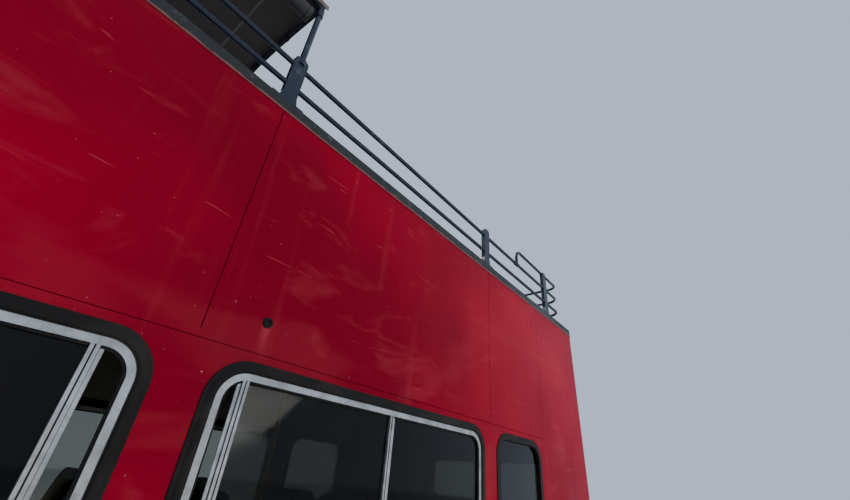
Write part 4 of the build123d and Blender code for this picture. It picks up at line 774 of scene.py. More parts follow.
for side, word in ((1, "left"), (-1, "right")):
    y_mid = side * (roll_high.y - roll_box_half)
    x0, x1 = roll_low.x, roll_high.x
    tie_count = round((x1 - x0) / tie_pitch)
    curtain, ties = Shell(), Shell()
    spans = []
    for i in range(roll_spans + 1):
        x = x0 + i / roll_spans * (x1 - x0)
        slack = abs(sin(pi * (x - x0) / (x1 - x0) * tie_count))
        swell = 0.93 + 0.06 * slack + random.uniform(-0.008, 0.008)
        drop = 0.003 * slack
        spans.append([(x, y_mid + side * u * swell, roll_z - drop + v * swell) for u, v in spiral_points])
    curtain.rings(spans, closed=False)
    rolled = curtain.piece(f"curtain_roll_{word}", curtain_cloth, "canopy_fabric", crease=50)
    skin = rolled.modifiers.new("thickness", "SOLIDIFY")
    skin.thickness = 0.0010
    for i in range(tie_count + 1):
        x = x0 + 0.02 + i / tie_count * (x1 - x0 - 0.04)
        ties.turned(tie_band, (x, y_mid, roll_z), axis="X", sides=28, looped=True)
        low = (x - tie_half, y_mid - 0.0012, roll_z + 0.050)
        high = (x + tie_half, y_mid + 0.0012, roll_z + tie_top)
        ties.block(low, high)
    webbing = ties.piece(f"curtain_ties_{word}", tie_webbing, "canopy_fabric")
    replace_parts(rolled, "curtain_rolls")

# Floors, stairs and wheel boxes. Plywood floors under dark ribbed sheet; pressed steel
# stairs and boxes in worn grey paint.
floor_dark = (0.045, 0.046, 0.050)
floor_scuffed = (0.10, 0.10, 0.10)
inner_grey, inner_worn = (0.20, 0.20, 0.21), (0.10, 0.09, 0.08)

floor_sheet, tree, shader = new_finish("floor_covering", floor_dark, 0.75)
scuffed = patches(tree, (3.0, 6.0, 0.65), 0.42, 0.7)
tree.links.new(mixed(tree, scuffed, floor_dark, floor_scuffed), shader.inputs["Base Color"])
ribs = add_node(tree, "ShaderNodeTexWave", wave_type="BANDS", bands_direction="Y")
ribs.inputs["Scale"].default_value = 40.0
tree.links.new(place_of(tree), ribs.inputs["Vector"])
bumps(tree, shader, ribs.outputs["Fac"], 0.4, 0.0015)
dress(floor_sheet, "floor_covering", "lower_floor", "upper_floor")
inner_steel = enamel("inner_steel", inner_grey, inner_worn, 0.5)
dress(inner_steel, "inner_steel", "wheel_boxes", "staircase")

# Saloon lining. Pale laminate panels on the inside of the lower walls, round the windows
# and under the upper floor, with two rows of ceiling lamps behind milky covers.
lining_tone = (0.33, 0.34, 0.31)
lining_grubby = (0.20, 0.20, 0.17)
cover_milky, cover_yellowed = (0.62, 0.63, 0.58), (0.45, 0.44, 0.38)
wall_y = 1.1995
lining_thick = 0.004
ceiling_z = 2.4295
low_lining_z = (0.642, 1.112)
high_lining_z = (1.988, ceiling_z - 0.010)
window_gap_z = (low_lining_z[1] + 0.003, high_lining_z[0] - 0.003)
pillar_cover_half = 0.076
lining_runs = (
    # side, rear end, front end, low height, high height
    (1, -4.160, -3.535, *low_lining_z),
    (1, -2.325, 2.060, *low_lining_z),
    (-1, -4.160, -3.535, *low_lining_z),
    (-1, -2.325, -1.020, *low_lining_z),
    (-1, -0.280, 2.060, *low_lining_z),
    (1, -4.160, 3.370, *high_lining_z),
    (-1, -4.160, 4.740, *high_lining_z),
)
lining = Shell()
for side, x0, x1, z0, z1 in lining_runs:
    y0, y1 = sorted((side * wall_y, side * (wall_y - lining_thick)))
    lining.block((x0, y0, z0), (x1, y1, z1))
for side in (1, -1):
    y0, y1 = sorted((side * wall_y, side * (wall_y - 2 * lining_thick)))
    for x in pillars:
        if side > 0 or x != pillars[1]:
            ends = (x - pillar_cover_half, x + pillar_cover_half)
            lining.block((ends[0], y0, window_gap_z[0]), (ends[1], y1, window_gap_z[1]), 0.003)
ceiling_runs = (
    # rear end, front end, right edge, left edge
    (-4.160, 1.440, -1.190, 1.190),
    (1.443, 3.100, -0.545, 1.190),
    (3.103, 4.960, -1.100, 1.100),
)
for x0, x1, y0, y1 in ceiling_runs:
    lining.block((x0, y0, ceiling_z - 0.006), (x1, y1, ceiling_z))
laminate = enamel("saloon_laminate", lining_tone, lining_grubby, 0.45)
lining.piece("saloon_lining", laminate, "inner_steel", crease=20)
ceiling_lamp_xs = [-3.6 + i * 1.2 for i in range(7)]
ceiling_lamp_ys = (0.62, -0.42)
ceiling_lamp_half = (0.30, 0.055)
ceiling_lamp_drops = (0.034, 0.006)
lamp_covers = Shell()
for x in ceiling_lamp_xs:
    for y in ceiling_lamp_ys:
        low = (x - ceiling_lamp_half[0], y - ceiling_lamp_half[1], ceiling_z - ceiling_lamp_drops[0])
        high = (x + ceiling_lamp_half[0], y + ceiling_lamp_half[1], ceiling_z - ceiling_lamp_drops[1])
        lamp_covers.block(low, high, 0.02)
milky = enamel("milky_cover", cover_milky, cover_yellowed, 0.35)
lamp_covers.piece("ceiling_lamps", milky, "lamp_lens", crease=25)

# Seats. Moulded plastic shells with a rolled rim, dished and bare on the upper deck and faded
# by the sun; indoors they carry foam pads in yellow-green moquette. Each stands on a steel
# pedestal, and four screws show in each bare back.
shell_blue = (0.020, 0.030, 0.060)
shell_faded = (0.050, 0.062, 0.090)
shell_grey, shell_scuffed = (0.050, 0.052, 0.055), (0.09, 0.09, 0.09)
seat_rows_upper = [-4.350 + i * 0.720 for i in range(13)]
seat_rows_lower = [-1.960 + i * 0.720 for i in range(6)]
stair_gap_x = (1.100, 3.790)
upper_floor_z, saloon_floor_z = 2.470, 0.640
seat_ys = (0.530, 0.960)
seat_half, pan_depth, pan_lift = 0.208, 0.400, 0.396
back_foot, back_length = (-0.1998, -0.01395), 0.5276
pan_lean, back_lean = radians(-4.0), radians(-11.0)
pan_roll_x, pan_roll_slope = 0.140, 0.16
pan_corner, back_corner = 0.070, 0.080
screw_places = [(-0.0146, v, w) for v in (-0.120, 0.120) for w in (0.130, 0.390)]
seat_screw = (0.0075, 0.0022)
pan_section = (
    # inset from the edge, height: underside, rolled rim, dish
    *((0.060, 0.0000), (0.010, 0.0000)),
    *((0.003, 0.0030), (0.000, 0.0100), (0.000, 0.0240), (0.004, 0.0315), (0.010, 0.0338)),
    *((0.018, 0.0320), (0.028, 0.0250), (0.060, 0.0155), (0.110, 0.0130)),
)
back_section = (
    # inset from the edge, place off the front face: rear face, rolled rim, dish
    *((0.060, -0.0240), (0.022, -0.0262)),
    *((0.008, -0.0295), (0.001, -0.0240), (0.000, -0.0120), (0.004, -0.0025), (0.011, -0.0002)),
    *((0.020, -0.0022), (0.034, -0.0095), (0.070, -0.0140), (0.115, -0.0150)),
)
seat_spots = []
for x in seat_rows_upper:
    sides = (1,) if stair_gap_x[0] < x < stair_gap_x[1] else (1, -1)
    seat_spots += [(x, side * y, upper_floor_z) for side in sides for y in seat_ys]
lower_spots = [(x, y, saloon_floor_z) for x in seat_rows_lower for y in seat_ys]
lower_spots += [(seat_rows_lower[i], -y, saloon_floor_z) for i in (0, 1, 3) for y in seat_ys]
shell_finish = enamel("seat_shell", shell_blue, shell_faded, 0.5)
inner_shell = enamel("inner_shell", shell_grey, shell_scuffed, 0.5)


def pan_place(x, y, base):
    """Where a seat's pan lies, from its middle and the floor under it."""
    return Matrix.Translation((x, y, base + pan_lift)) @ Matrix.Rotation(pan_lean, 4, "Y")


def back_place(x, y, base):
    """Where a seat's back stands, from the foot of its front face."""
    foot = Matrix.Translation((x + back_foot[0], y, base + pan_lift + back_foot[1]))
    return foot @ Matrix.Rotation(back_lean, 4, "Y")


def pan_point(u, v, w):
    """A point of the pan, whose front edge rolls down."""
    droop = max(0.0, u - pan_roll_x) * pan_roll_slope if w > 0.008 else 0.0
    return Vector((u, v, w - droop))


pan_box = (-pan_depth / 2, pan_depth / 2, -seat_half, seat_half)
back_box = (-seat_half, seat_half, 0.0, back_length)
pan_rings = rounded_rings(pan_box, pan_corner, pan_section, pan_point, 5, 0.6)
back_rings = rounded_rings(back_box, back_corner, back_section, lambda u, v, w: Vector((w, u, v)), 5, 0.6)
shell_rows = (
    # name, node it stands for, places, finish, slot
    ("seat_shells_upper", "seats_upper", seat_spots, shell_finish, "seat_shell"),
    ("seat_shells_lower", "seats_lower", lower_spots, inner_shell, "seat_fabric"),
)
for name, node, spots, finish, slot in shell_rows:
    shells = Shell()
    for spot in spots:
        for place, rings in ((pan_place(*spot), pan_rings), (back_place(*spot), back_rings)):
            shells.rings([[place @ p for p in ring] for ring in rings], capped=True)
    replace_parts(shells.piece(name, finish, slot, crease=40), node)
screw_out = Vector((cos(back_lean), 0, -sin(back_lean)))
seat_screws = Shell()
for spot in seat_spots:
    for place in screw_places:
        seat_screws.dome(back_place(*spot) @ Vector(place), screw_out, *seat_screw)
seat_screws.piece("seat_screws", window_aluminium, "seat_shell", crease=30)
dress(inner_steel, "inner_steel", "seat_legs")

# Cushions. Flat foam pads sewn into moquette, filled out by their foam; the driver's are
# thick, and a pleated rubber boot under them hides the seat's springs.
moquette = (0.170, 0.175, 0.030)
moquette_worn = (0.110, 0.105, 0.045)
driver_grey = (0.045, 0.046, 0.050)
driver_worn = (0.085, 0.082, 0.078)
moquette_weave = 420.0
pan_pad, back_pad = (0.330, 0.345, 0.026), (0.415, 0.345, 0.022)
driver_place, driver_lean = (3.990, -0.760, 0.830), radians(-6.0)
driver_pan_pad, driver_back_pad = (0.450, 0.440, 0.104), (0.640, 0.440, 0.078)
boot_half, boot_height, boot_pleats = (0.140, 0.150), 0.260, 7
foam_voxel, foam_pressure, foam_steps = 0.010, 4.0, 20
seat_cloth = cloth_fabric("seat_fabric", moquette, moquette_worn, moquette_weave)
driver_cloth = cloth_fabric("driver_fabric", driver_grey, driver_worn, moquette_weave)


def bake_shape(piece):
    """Applies the modifiers to the mesh."""
    graph = bpy.context.evaluated_depsgraph_get()
    shaped = bpy.data.meshes.new_from_object(piece.evaluated_get(graph))
    piece.modifiers.clear()
    piece.data = shaped


def foam_block(name, size, corner, lift):
    """One cushion: a rounded slab, filled out under its cloth by simulation."""
    length, width, thick = size
    box = (-length / 2, length / 2, -width / 2, width / 2)
    section = ((0.012, 0.0), (0.0, 0.010), (0.0, thick - 0.014), (0.010, thick - 0.004), (0.030, thick))
    slab = Shell()
    slab.rings(rounded_rings(box, corner, section, lambda u, v, z: (u, v, z), 4, 0.5), capped=True)
    mesh = bpy.data.meshes.new(name)
    mesh.from_pydata(slab.points, [], slab.faces)
    cushion = link(bpy.data.objects.new(name, mesh))
    remesh = cushion.modifiers.new("remesh", "REMESH")
    remesh.mode = "VOXEL"
    remesh.voxel_size = foam_voxel
    bake_shape(cushion)
    before = [v.co.copy() for v in cushion.data.vertices]
    cloth = cushion.modifiers.new("cloth", "CLOTH")
    cloth.settings.use_pressure = True
    cloth.settings.uniform_pressure_force = foam_pressure
    cloth.settings.effector_weights.gravity = 0.0
    for step in range(1, foam_steps + 1):
        bpy.context.scene.frame_set(step)
    bake_shape(cushion)
    bpy.context.scene.frame_set(1)
    for vertex, start in zip(cushion.data.vertices, before):
        move = vertex.co - start
        if move.length > lift:
            vertex.co = start + move.normalized() * lift
        vertex.co.z = max(vertex.co.z, 0.0)
    return cushion


def joined_copies(name, pattern, places):
    """One mesh that holds a copy of the pattern at each place."""
    joined = bmesh.new()
    for place in places:
        joined.from_mesh(pattern.data)
        joined.verts.ensure_lookup_table()
        fresh = joined.verts[-len(pattern.data.vertices) :]
        bmesh.ops.transform(joined, matrix=place, verts=fresh)
    mesh = bpy.data.meshes.new(name)
    joined.to_mesh(mesh)
    joined.free()
    mesh.shade_smooth()
    return link(bpy.data.objects.new(name, mesh))


up_the_back = Matrix.Rotation(pi / 2, 4, "Y")
on_pan = Matrix.Translation((0.0, 0, 0.0132))
on_back = Matrix.Translation((-0.0148, 0, 0.268)) @ up_the_back
driver_seat = Matrix.Translation(driver_place)
driver_pan = driver_seat @ Matrix.Translation((0.020, 0, 0.2605))
driver_hinge = driver_seat @ Matrix.Translation((-0.2153, 0, 0.260)) @ Matrix.Rotation(driver_lean, 4, "Y")
driver_rest = driver_hinge @ Matrix.Translation((-0.090, 0, 0.330)) @ up_the_back
pan_places = [pan_place(*spot) @ on_pan for spot in lower_spots]
rest_places = [back_place(*spot) @ on_back for spot in lower_spots]
pads = (
    # name, size, corner radius, most that the foam swells, cloth, places
    ("seat_cushions", pan_pad, 0.055, 0.009, seat_cloth, pan_places),
    ("seat_backs", back_pad, 0.060, 0.008, seat_cloth, rest_places),
    ("driver_cushion", driver_pan_pad, 0.060, 0.014, driver_cloth, [driver_pan]),
    ("driver_back", driver_back_pad, 0.060, 0.012, driver_cloth, [driver_rest]),
)
for name, size, corner, swell, cloth_finish, places in pads:
    pattern = foam_block(f"{name}_pattern", size, corner, swell)
    cushions = joined_copies(name, pattern, places)
    cushions.data.materials.append(cloth_finish)
    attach(cushions, "body")
    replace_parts(cushions, "seats_lower")
    bpy.data.objects.remove(pattern)
boot_box = (-boot_half[0], boot_half[0], -boot_half[1], boot_half[1])
boot_steps = boot_pleats * 4
boot_folds = (0.0, 0.006, 0.013, 0.006)
boot_section = [(boot_folds[k % 4], boot_height * k / boot_steps) for k in range(boot_steps + 1)]
boot = Shell()
rings = rounded_rings(boot_box, 0.030, boot_section, lambda *p: Vector(driver_place) + Vector(p), 4, 0.0)
boot.rings(rings, capped=True)
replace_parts(boot.piece("driver_boot", window_rubber, "window_rubber", crease=70), "seats_lower")

# Cab and grab poles. The driver's dash, half door and partition are black moulded plastic on
# a steel frame; the poles are steel tube in yellow enamel, held between floor and ceiling.
cab_black, cab_rubbed = (0.030, 0.030, 0.032), (0.06, 0.06, 0.06)
pole_yellow, pole_rubbed = (0.60, 0.38, 0.02), (0.40, 0.28, 0.05)
cab_finish = enamel("cab_plastic", cab_black, cab_rubbed, 0.6)
pole_finish = enamel("grab_rail", pole_yellow, pole_rubbed, 0.35)
dress(cab_finish, "cab_plastic", "cab_fittings")
dress(pole_finish, "grab_rail", "grab_poles")

# Dash dials and pedals. Round instruments in bright rims on the sloped binnacle, and two
# ribbed rubber pedal pads on black arms.
dial_faces = (
    # place across, radius
    (-0.90, 0.034),
    (-0.80, 0.038),
    (-0.69, 0.038),
    (-0.59, 0.034),
)
binnacle_middle = (4.825, 1.195)
pedals = (
    # place across, width
    (-0.66, 0.055),
    (-0.84, 0.060),
)
pedal_foot, pedal_head = (4.700, 0.850), (4.775, 0.945)
pedal_out = Vector((-0.785, 0, 0.62)).normalized()
pedal_corner = 0.012
arm_line, arm_radius = ((4.835, 1.02), (4.815, 0.93)), 0.009
rib_count, rib_pitch, rib_radius, rib_lift = 5, 0.020, 0.0025, 0.0145
dial_rims, dial_glass = Shell(), Shell()
slope_out, slope_up = Vector((-1, 0, 1)).normalized(), Vector((1, 0, 1)).normalized()
dial_turn = [Vector((0, 1, 0)) * cos(tau * i / 32) + slope_up * sin(tau * i / 32) for i in range(32)]
dial_rows = (
    # shell, section as (share of the radius, height), whether it is a ring
    (dial_rims, ((0.88, 0.001), (0.90, 0.006), (1.0, 0.007), (1.06, 0.004), (1.08, 0.0)), True),
    (dial_glass, ((0.89, 0.0005), (0.89, 0.0020), (0.70, 0.0024), (0.10, 0.0026)), False),
)
for y, radius in dial_faces:
    centre = Vector((binnacle_middle[0], y, binnacle_middle[1]))
    for shell, section, looped in dial_rows:
        rings = []
        for share, lift in section:
            rings.append([centre + slope_out * lift + s * radius * share for s in dial_turn])
        shell.rings(rings, looped=looped, capped=not looped)
dial_rims.piece("dial_rims", window_aluminium, "cab_plastic", crease=30)
dial_glass.piece("dial_faces", black_trim, "cab_plastic", crease=30)
pedal_section = ((0.004, 0.0), (0.0, 0.003), (0.0, 0.011), (0.004, 0.014))
pads_rubber = Shell()
for y, width in pedals:
    low, high = [Vector((x, y, z)) for x, z in (pedal_foot, pedal_head)]
    along = (high - low).normalized()
    arm = [(x, y, z) for x, z in arm_line]
    pads_rubber.tube([*arm, (low + high) / 2 - pedal_out * 0.004], arm_radius, 10)
    tread_box = (-width / 2, width / 2, 0.0, (high - low).length)
    rings = rounded_rings(
        tread_box,
        pedal_corner,
        pedal_section,
        lambda u, v, w: low + along * v + pedal_out * w + Vector((0, u, 0)),
        4,
    )
    pads_rubber.rings(rings, capped=True)
    rib_half = Vector((0, width * 0.38, 0))
    for k in range(1, rib_count + 1):
        middle = low + along * rib_pitch * k + pedal_out * rib_lift
        pads_rubber.tube([middle - rib_half, middle + rib_half], rib_radius, 8)
pads_rubber.piece("pedals", window_rubber, "cab_plastic", crease=35)

# Tyres. Black rubber with four grooves round the tread, cross cuts in the shoulder blocks
# and raised rings on the side walls, greyed by road dust.
tyre_black = (0.0125, 0.0125, 0.0128)
tyre_dusty = (0.055, 0.050, 0.044)
hub_z = 0.520
tyre_radius = 0.520
tyre_half = 0.138
front_axle_x, rear_axle_x = 2.710, -2.930
wheel_y = 1.095
twin_pitch = 0.320
tyre_sides = 120
groove_places = (-0.066, -0.023, 0.023, 0.066)
groove_half, groove_deep = 0.006, 0.014
cut_deep = 0.006
cut_above_radius, cut_beyond = 0.500, 0.075

tyre_rubber = rubber("tyre_rubber", tyre_black, tyre_dusty, 0.8)


def tyre_profile():
    """Half of the section from the bead to the middle of the tread, mirrored to the other bead."""
    half = [
        (0.2905, -0.1035),
        (0.3160, -0.1035),
        (0.3260, -0.1190),
        (0.3400, -0.1250),
        (0.3430, -0.1280),
        (0.3480, -0.1280),
        (0.3510, -0.1270),
        (0.3900, -0.1355),
        (0.4060, -tyre_half + 0.001),
        (0.4085, -tyre_half),
        (0.4145, -tyre_half),
        (0.4170, -tyre_half + 0.001),
        (0.4550, -0.1365),
        (0.4850, -0.1300),
        (0.4900, -0.1280),
        (0.5050, -0.1210),
        (0.5140, -0.1090),
        (0.5180, -0.0950),
    ]
    for place in [p for p in groove_places if p < 0]:
        half += [
            (tyre_radius, place - groove_half),
            (tyre_radius - groove_deep, place - groove_half * 0.5),
            (tyre_radius - groove_deep, place + groove_half * 0.5),
            (tyre_radius, place + groove_half),
        ]
    return half + [(r, -d) for r, d in reversed(half)]


def treaded_tyre(shell, x, y):
    """A turned tyre whose shoulders are notched all round."""
    profile = tyre_profile()
    rings = []
    for radius, along in profile:
        ring = []
        for j in range(tyre_sides):
            a = tau * j / tyre_sides
            notched = j % 2 and radius > cut_above_radius and abs(along) > cut_beyond
            cut = cut_deep if notched else 0.0
            ring.append((x + (radius - cut) * cos(a), y + along, hub_z + (radius - cut) * sin(a)))
        rings.append(ring)
    shell.rings(rings, looped=True)


wheel_rows = (
    # word, place of the axle, side, middles of its tyres
    ("front_left", front_axle_x, 1, (wheel_y,)),
    ("front_right", front_axle_x, -1, (wheel_y,)),
    ("rear_left", rear_axle_x, 1, (wheel_y, wheel_y - twin_pitch)),
    ("rear_right", rear_axle_x, -1, (wheel_y, wheel_y - twin_pitch)),
)
for word, axle_x, side, middles in wheel_rows:
    tread = Shell()
    for middle in middles:
        treaded_tyre(tread, axle_x, side * middle)
    made = tread.piece(f"tread_{word}", tyre_rubber, "tyre_rubber", f"wheel_{word}", crease=28)
    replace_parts(made, f"tyre_{word}" if len(middles) == 1 else f"tyres_{word}")

# Wheels. Pressed steel discs welded in their rims, in silver paint gone chalky and brown, each
# held to its hub by ten nuts on studs.
rim_silver = (0.22, 0.22, 0.215)
rim_rusty = (0.10, 0.075, 0.055)
nut_steel, nut_rusty = (0.16, 0.155, 0.15), (0.10, 0.07, 0.05)
front_disc_off, twin_disc_off = 0.062, 0.011
nut_count = 10
nut_circle = 0.142
nut_section = (
    *((0.0185, 0.0), (0.0185, 0.003), (0.0150, 0.0035)),
    *((0.0150, 0.021), (0.0130, 0.0235), (0.0085, 0.0235)),
)
stud_section = ((0.0075, 0.02), (0.0075, 0.032), (0.006, 0.0335))
rim_finish = enamel("wheel_rim", rim_silver, rim_rusty, 0.45)
nut_finish = brushed_metal("nut_steel", nut_steel, nut_rusty, 0.5)
dress(rim_finish, "wheel_rim", "rim_front_left", "rim_front_right", "rims_rear_left", "rims_rear_right")
for word, axle_x, side, middles in wheel_rows:
    twins = len(middles) > 1
    face = wheel_y - twin_pitch / 2 + twin_disc_off if twins else wheel_y + front_disc_off
    nuts = Shell()
    for i in range(nut_count):
        a = tau * (i + 0.5) / nut_count
        place = (axle_x + nut_circle * cos(a), side * face, hub_z + nut_circle * sin(a))
        nuts.turned(nut_section, place, sides=6, side=side, capped=True)
        nuts.turned(stud_section, place, sides=10, side=side, capped=True)
    nuts.piece(f"wheel_nuts_{word}", nut_finish, "wheel_rim", f"wheel_{word}", crease=25)

# Running gear. Black-painted chassis steel gone rusty and dusty; the axles, knuckles, track
# rod and engine block are of bare, oily iron and steel.
chassis_black = (0.020, 0.020, 0.020)
chassis_rusty = (0.090, 0.050, 0.030)
cast_dark, cast_rusty = (0.045, 0.042, 0.040), (0.10, 0.07, 0.05)
chassis_paint = enamel("chassis_steel", chassis_black, chassis_rusty, 0.7)
cast_finish = enamel("cast_parts", cast_dark, cast_rusty, 0.6)
dress(chassis_paint, "chassis_steel", "chassis_frame")
dress(cast_finish, "cast_parts", "front_axle", "rear_axle", "knuckle_left", "knuckle_right", "track_rod")
dress(cast_finish, "cast_parts", "engine_block")

# Lamps. Clear lenses over reflectors at the front, red and amber ones at the tail, each in
# a bright bezel that stands on the panel.
lens_red = (0.42, 0.012, 0.010)
lens_amber = (0.62, 0.20, 0.010)
lens_clear = (0.72, 0.74, 0.74)
mirror_silver = (0.80, 0.81, 0.82)
bezel_bright, bezel_dull = (0.55, 0.56, 0.57), (0.35, 0.35, 0.35)
prism_scale, flute_scale, bar_scale = 520.0, 420.0, 160.0
nose_x, tail_x = 5.290, -5.290
nose_bow_radius = (body_half**2 + 0.060**2) / (2 * 0.060)


def nose_at(y):
    """How far forward the bowed front reaches at a place across it, below the waist."""
    return nose_x - (nose_bow_radius - sqrt(nose_bow_radius**2 - y * y))


def lens(name, colour):
    """Coloured lamp plastic, moulded in small prisms."""
    finish, tree, shader = new_finish(name, colour, 0.12)
    shader.inputs["Coat Weight"].default_value = 0.2
    shader.inputs["Specular IOR Level"].default_value = 0.2
    _, y, z = axes_of(tree)
    across, upward = calc(tree, "MULTIPLY", y, prism_scale), calc(tree, "MULTIPLY", z, prism_scale)
    prisms = calc(tree, "MULTIPLY", calc(tree, "SINE", across), calc(tree, "SINE", upward))
    tone = mixed(tree, spread(tree, prisms, -1.0, 1.0), tuple(c * 0.7 for c in colour), colour)
    tree.links.new(tone, shader.inputs["Base Color"])
    bumps(tree, shader, prisms, 0.4, 0.0012)
    return finish


red_lens, amber_lens = lens("red_lens", lens_red), lens("amber_lens", lens_amber)
clear_lens, tree, shader = new_finish("clear_lens", lens_clear, 0.04)
shader.inputs["Transmission Weight"].default_value = 1.0
shader.inputs["IOR"].default_value = 1.35
_, y, z = axes_of(tree)
flutes = calc(tree, "SINE", calc(tree, "MULTIPLY", y, flute_scale))
bars = calc(tree, "SINE", calc(tree, "MULTIPLY", z, bar_scale))
bumps(tree, shader, calc(tree, "ADD", flutes, bars), 0.35, 0.002)
reflector, tree, shader = new_finish("reflector", mirror_silver, 0.08, 1.0)
gloss = patches(tree, (30.0, 4.0), 0.3, 0.7, 0.05, 0.16)
tree.links.new(gloss, shader.inputs["Roughness"])
bezel_metal = brushed_metal("bezel_metal", bezel_bright, bezel_dull, 0.25)
tail_lamp_y = 0.985
tail_lamps = ((0.760, red_lens), (0.900, amber_lens), (1.040, red_lens))
head_lamp_ys, head_lamp_z = (0.620, 0.840), 0.830
tail_cup = [(0.0545, 0.0120), (0.0545, -0.0380), (0.0300, -0.0395), (0.0300, -0.0300), (0.0500, -0.0280)]
tail_cup.append((0.0500, 0.0120))
tail_cover = [(0.0500, 0.0125), (0.0500, 0.016), (0.044, 0.022), (0.026, 0.0255), (0.0005, 0.0265)]
tail_bezel = [(0.0505, 0.0), (0.0505, 0.018), (0.0560, 0.0195), (0.0610, 0.0120), (0.0620, 0.0)]
head_bezel = [(0.0900, -0.030), (0.0900, 0.022), (0.0960, 0.026), (0.1070, 0.016), (0.1090, -0.030)]
glass_front = [(0.0895, -0.0300), (0.0895, -0.0240), (0.0830, -0.0180), (0.0500, -0.0155), (0.0005, -0.0150)]
glass_rear = [(0.0005, -0.0180), (0.0490, -0.0185), (0.0800, -0.0210), (0.0860, -0.0260), (0.0860, -0.0300)]
bowl_front = [(0.0885, -0.0310), (0.0790, -0.0480), (0.0600, -0.0660), (0.0360, -0.0780), (0.0150, -0.0820)]
bowl_back = [(0.0150, -0.0835), (0.0600, -0.0830), (0.0905, -0.0820), (0.0905, -0.0310)]
bulb = [(0.0140, -0.0820), (0.0140, -0.0640), (0.0110, -0.0600), (0.0110, -0.0480), (0.0070, -0.0430)]
bezels, lamp_glass, lamp_bowls, tail_cups = Shell(), Shell(), Shell(), Shell()
for side in (1, -1):
    for z, finish in tail_lamps:
        place = (tail_x, side * tail_lamp_y, z)
        tail_cups.turned(tail_cup, place, axis="X", side=-1, looped=True)
        bezels.turned(tail_bezel, place, axis="X", side=-1, looped=True)
        cover = Shell()
        cover.turned(tail_cover, place, axis="X", side=-1, capped=True)
        cover.piece(f"tail_lens_{'left' if side > 0 else 'right'}_{round(z * 1000)}", finish, "lamp_lens")
    for y in head_lamp_ys:
        bezels.turned(head_bezel, (nose_at(y), side * y, head_lamp_z), axis="X", looped=True)
        place = (nose_x, side * y, head_lamp_z)
        lamp_glass.turned([*glass_front, *glass_rear], place, axis="X", looped=True)
        lamp_bowls.turned([*bowl_front, *bowl_back], place, axis="X", looped=True)
        lamp_bowls.turned(bulb, place, axis="X", sides=20, capped=True)
bezels.piece("lamp_bezels", bezel_metal, "lamp_lens", crease=40)
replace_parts(lamp_glass.piece("head_lamp_lenses", clear_lens, "lamp_lens", crease=40), "lamps")
lamp_bowls.piece("head_lamp_bowls", reflector, "lamp_lens", crease=40)
tail_cups.piece("tail_lamp_cups", black_trim, "lamp_lens", crease=40)

# Wipers. Two pressed steel arms on capped spindles below the windscreen, each with a sprung
# blade and a rubber edge, parked low across the glass.
front_knees = (
    # height, reach forward in the middle
    (1.150, nose_x),
    (cantrail_z, 5.230),
    (deck_edge_z, 5.150),
)
wiper_arm = (
    # place across, height, distance off the front
    (0.985, 1.148, 0.014),
    (0.960, 1.160, 0.022),
    (0.800, 1.206, 0.014),
    (0.620, 1.262, 0.006),
)
wiper_blade = ((0.930, 1.238), (0.770, 1.252), (0.620, 1.262), (0.460, 1.270), (0.300, 1.276))
blade_radius, blade_off = 0.0045, 0.0020
edge_radius, edge_off = 0.0040, 0.0085


def front_at(y, z):
    """How far forward the bowed and leaning front reaches at a place on it."""
    bow = nose_bow_radius - sqrt(nose_bow_radius**2 - y * y)
    for (z0, x0), (z1, x1) in zip(front_knees, front_knees[1:]):
        if z <= z1:
            return x0 + (x1 - x0) * max(0.0, z - z0) / (z1 - z0) - bow
    return front_knees[-1][1] - bow


spindle_y, spindle_z, _ = wiper_arm[0]
spindle_x = front_at(spindle_y, spindle_z)
spindle_cap = [(0.019, -0.002), (0.019, 0.004), (0.013, 0.008), (0.013, 0.020), (0.009, 0.024)]
arm_radii = [0.010, 0.009, 0.006, 0.005]
wipers, edges = Shell(), Shell()
for side in (1, -1):
    wipers.tube([(front_at(y, z) + off, side * y, z) for y, z, off in wiper_arm], arm_radii, 10)
    wipers.turned(spindle_cap, (spindle_x, side * spindle_y, spindle_z), axis="X", sides=24, capped=True)
    wipers.tube([(front_at(y, z) - blade_off, side * y, z) for y, z in wiper_blade], blade_radius, 8)
    edge_line = [(front_at(y, z) - edge_off, side * y, z) for y, z in wiper_blade]
    edges.tube(edge_line, edge_radius, 8, flat=0.5)
wipers.piece("wipers", black_trim, "black_trim", crease=40)
edges.piece("wiper_edges", window_rubber, "window_rubber", crease=40)

# Plates. A pressed aluminium number plate at each end, left blank, with a raised border and a
# screw at each side. The front one stands flat on a pad over the bowed panel; the tail's has a
# small lamp over it.
plate_half, plate_height = 0.260, 0.111
front_plate_z, tail_plate_z, plate_lamp_z = 0.590, 1.357, 1.4765
plate_section = ((0.0, 0.0004), (0.0, 0.0014), (0.0015, 0.0024), (0.0060, 0.0024), (0.0075, 0.0014))
plate_corner = 0.012
plate_screw_ys, plate_screw = (-0.215, 0.215), (0.0065, 0.0022, 10)
plate_pale, plate_dull = (0.62, 0.62, 0.58), (0.42, 0.40, 0.36)
plate_white = enamel("plate_white", plate_pale, plate_dull, 0.35)
plate_places = (
    # word, lower edge, place of its back, which way it faces
    ("front", front_plate_z, front_at(0.0, front_plate_z), 1),
    ("tail", tail_plate_z, tail_x, -1),
)
for word, low_z, seat_x, outward in plate_places:
    plate = Shell()
    box = (-plate_half, plate_half, low_z, low_z + plate_height)
    rings = rounded_rings(
        box, plate_corner, plate_section, lambda y, z, off: (seat_x + outward * off, y, z), 4, 0.0
    )
    if outward > 0:
        rings.insert(0, [(front_at(y, z) - 0.0006, y, z) for _, y, z in rings[0]])
    plate.rings(rings, capped=True)
    for y in plate_screw_ys:
        middle = (seat_x + outward * plate_section[-1][1], y, low_z + plate_height / 2)
        plate.dome(middle, (outward, 0, 0), *plate_screw)
    plate.piece(f"number_plate_{word}", plate_white, "black_trim", crease=30)
